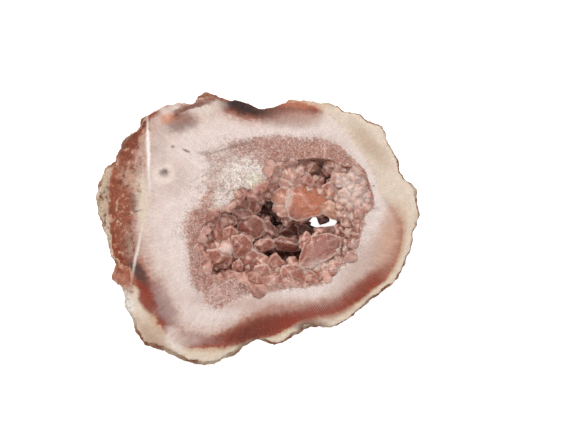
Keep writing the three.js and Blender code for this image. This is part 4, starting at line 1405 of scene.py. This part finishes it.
# Blocks that narrow the hole in the back: x, y and height
HOLE_BLOCKS = [
    (23.8, 3.9, 25.5), (14.4, 1.0, 25.0), (29.6, 0.2, 26.0), (21.5, -2.3, 24.0), (26.4, -2.0, 25.0),
]
HOLE_BLOCK_RADIUS = 2.7
LINING_SPLIT = 8.5  # the lining is made as two pieces, west and east of this x, to keep each of them light
BLOCK_LENGTH = 8.0
# The grids of blocks: spacing, radius, depth under the large crystals near by, random seed
LINING_PASSES = [
    (4.2, (3.2, 4.2), (2.2, 3.4), 17),
    (3.6, (2.2, 3.4), (0.1, 2.0), 11),
    (3.1, (1.6, 2.4), (0.5, 2.4), 23),
]


def inside_oval(x, y, oval, margin=0.0):
    """True inside an oval given by its middle and half sizes, or within a margin of it."""
    centre_x, centre_y, half_length, half_width = oval
    return ((x - centre_x) / (half_length + margin)) ** 2 + ((y - centre_y) / (half_width + margin)) ** 2 < 1


# %% Small blocks
BLOCK_RINGS = ((0.45, 0.72), (1.0, 1.0))  # how far down and how wide a block's rings are, by its radius
ROOT_WIDTH = 0.8
TIP_SHIFT, CORNER_SHIFT = 0.2, 0.25  # of the radius, and of the sixth of a turn between two corners
STRETCHES, CORNER_REACHES, CORNER_DROPS = (0.75, 1.3), (0.75, 1.15), (0.7, 1.2)  # how uneven a block is


def block_points(radius, length):
    """Corners of one uneven six-sided block with a blunt point at the origin, in metres."""
    tip = [random.uniform(-TIP_SHIFT, TIP_SHIFT) for _ in range(2)]
    points = [Vector((*tip, 0)) * radius]
    stretch = random.uniform(*STRETCHES)
    for ring_drop, ring_size in (*BLOCK_RINGS, (length / radius, ROOT_WIDTH)):
        for step in range(6):
            bearing = (step + random.uniform(-CORNER_SHIFT, CORNER_SHIFT)) * math.tau / 6
            reach = ring_size * random.uniform(*CORNER_REACHES)
            drop = ring_drop * random.uniform(*CORNER_DROPS)
            across = reach * math.cos(bearing) * stretch
            points.append(Vector((across, reach * math.sin(bearing), -drop)) * radius)
    return [point * MM for point in points]


def leaning(bearing, angle):
    """A turn that tips +Z towards a bearing, both in radians."""
    there, back = Matrix.Rotation(bearing, 4, "Z"), Matrix.Rotation(-bearing, 4, "Z")
    return there @ Matrix.Rotation(angle, 4, "Y") @ back


def add_block(target, radius, length, tip, lean):
    """Adds a small block to a joined mesh, with its point at a place in millimetres."""
    turn = lean @ Matrix.Rotation(random.uniform(0, math.tau), 4, "Z")
    place = Matrix.Translation(Vector(tip) * MM) @ turn
    block = mesh_from(hull_of([place @ point for point in block_points(radius, length)]), "block_holder")
    target.from_mesh(block)
    bpy.data.meshes.remove(block)


def add_to_lining(halves, radius, tip, lean):
    """Adds a block to the half of the lining that it stands in."""
    bm, places = halves["west" if tip[0] < LINING_SPLIT else "east"]
    add_block(bm, radius, BLOCK_LENGTH, tip, lean)
    places.append(tip)


# %% The lining
GRID_START, GRID_END_X, GRID_END_Y = -24.0, 42, 28
JITTER = 0.5  # of the spacing, each way
LEANS, LEAN_WANDER = (0.1, 0.7), 0.8  # radians
LOOK_RADIUS, LEAST_ROOM = 3.0, 0.2
USUAL_RADIUS = 2.6  # blocks larger than this keep further from the hole and the gaps
TOP_WITHOUT_NEIGHBOURS, CLUSTER_TOP, GAP_TOP = FACE_MM - 3, FACE_MM - 2.4, FACE_MM - 14
CRUST_RISE = 1.8


def add_lining(halves, spacing, radius_range, below_range, seed):
    """Adds small blocks over the mouth of the hollow, each to its half of the lining."""
    random.seed(seed)
    x = GRID_START
    while x < GRID_END_X:
        y = GRID_START
        while y < GRID_END_Y:
            px = x + random.uniform(-JITTER, JITTER) * spacing
            py = y + random.uniform(-JITTER, JITTER) * spacing
            radius, below = random.uniform(*radius_range), random.uniform(*below_range)
            angle, wander = random.uniform(*LEANS), random.uniform(-LEAN_WANDER, LEAN_WANDER)
            around = Vector((px, py)) - HOLLOW_CENTRE
            bearing = math.atan2(around.y, around.x)
            room = float(mouth_reach(bearing)) - around.length
            near = heights_near(px, py, LOOK_RADIUS)
            y += spacing
            margin = max(0.0, radius - USUAL_RADIUS)
            if room < LEAST_ROOM or inside_oval(px, py, LIGHT_HOLE, margin):
                continue
            top = near[len(near) // 2] if near else TOP_WITHOUT_NEIGHBOURS
            if inside_oval(px, py, UPPER_CLUSTER):
                top = max(top, CLUSTER_TOP)
            if inside_oval(px, py, RIGHT_CRUST):
                top += CRUST_RISE
            if any(inside_oval(px, py, gap, margin) for gap in DARK_GAPS):
                top = min(top, GAP_TOP)
            add_to_lining(halves, radius, (px, py, top - below), leaning(bearing + math.pi + wander, angle))
        x += spacing


# %% The sawn rim, and a shade for each block
RIM_BLOCKS, RIM_BLOCK_LENGTH = 100, 7.0
RIM_REACHES, RIM_RADII, RIM_TOPS = (-1.9, 1.2), (1.6, 3.4), (-0.8, 1.6)  # from the mouth's edge, and the face
RIM_JITTER, RIM_LEANS = 0.3, (0, 0.35)
CLEAN_LIP = (math.radians(47), math.radians(72))  # bearings between which the mouth's edge stays clean
BLOCK_MIDDLE = Vector((0, 0, 2))  # how far a block's middle is under its point


def add_rim_blocks(bm, seed):
    """Adds flat-topped blocks along the mouth, cut by the saw, and returns their places."""
    random.seed(seed)
    places = []
    for step in range(RIM_BLOCKS):
        bearing = -math.pi + (step + random.uniform(-RIM_JITTER, RIM_JITTER)) * math.tau / RIM_BLOCKS
        reach = float(mouth_reach(bearing)) + random.uniform(*RIM_REACHES)
        radius, angle = random.uniform(*RIM_RADII), random.uniform(*RIM_LEANS)
        if CLEAN_LIP[0] < bearing < CLEAN_LIP[1]:
            continue
        place = HOLLOW_CENTRE + Vector((math.cos(bearing), math.sin(bearing))) * reach
        tip = (place.x, place.y, FACE_MM + random.uniform(*RIM_TOPS))
        add_block(bm, radius, RIM_BLOCK_LENGTH, tip, leaning(bearing + math.pi, angle))
        places.append(tip)
    return places


def tint_by_place(mesh, places, seed):
    """Gives every block its own shade, by the nearest place."""
    random.seed(seed)
    shades = [random.random() for _ in places]
    tree = KDTree(len(places))
    for index, place in enumerate(places):
        tree.insert(Vector(place) - BLOCK_MIDDLE, index)
    tree.balance()
    values = [shades[tree.find(vert.co / MM)[1]] for vert in mesh.vertices]
    add_attribute(mesh, "own_tint", "FLOAT", values)


# %% Make the smaller crystals
LINING_VOXEL, RIM_VOXEL, SMALL_LUMPINESS = 0.33 * MM, 0.34 * MM, 0.3
halves = {"west": (bmesh.new(), []), "east": (bmesh.new(), [])}
for lining_pass in LINING_PASSES:
    add_lining(halves, *lining_pass)
for place in HOLE_BLOCKS:
    add_to_lining(halves, HOLE_BLOCK_RADIUS, place, Matrix.Identity(4))
for side, (half_bm, half_places) in halves.items():
    half_mesh = softened(mesh_from(half_bm, "lining_blocks"), LINING_VOXEL, 1, SMALL_LUMPINESS, seed=3.3)
    tint_by_place(half_mesh, half_places, seed=41)
    place_piece("lining_crystals_" + side, half_mesh, "rose_quartz")
    print(side, "lining:", len(half_places), "blocks,", triangles_of(half_mesh), "triangles")

rim_bm = bmesh.new()
rim_places = add_rim_blocks(rim_bm, seed=31)
rim_facets = mesh_from(rim_bm, "rim_blocks")
rim_mesh = softened(rim_facets, RIM_VOXEL, 0, SMALL_LUMPINESS, seed=7.7, height=JUST_OVER_FACE)
tint_by_place(rim_mesh, rim_places, seed=43)
place_piece("sawn_rim_crystals", rim_mesh, "pale_quartz")
print("sawn rim:", len(rim_places), "blocks,", triangles_of(rim_mesh), "triangles")
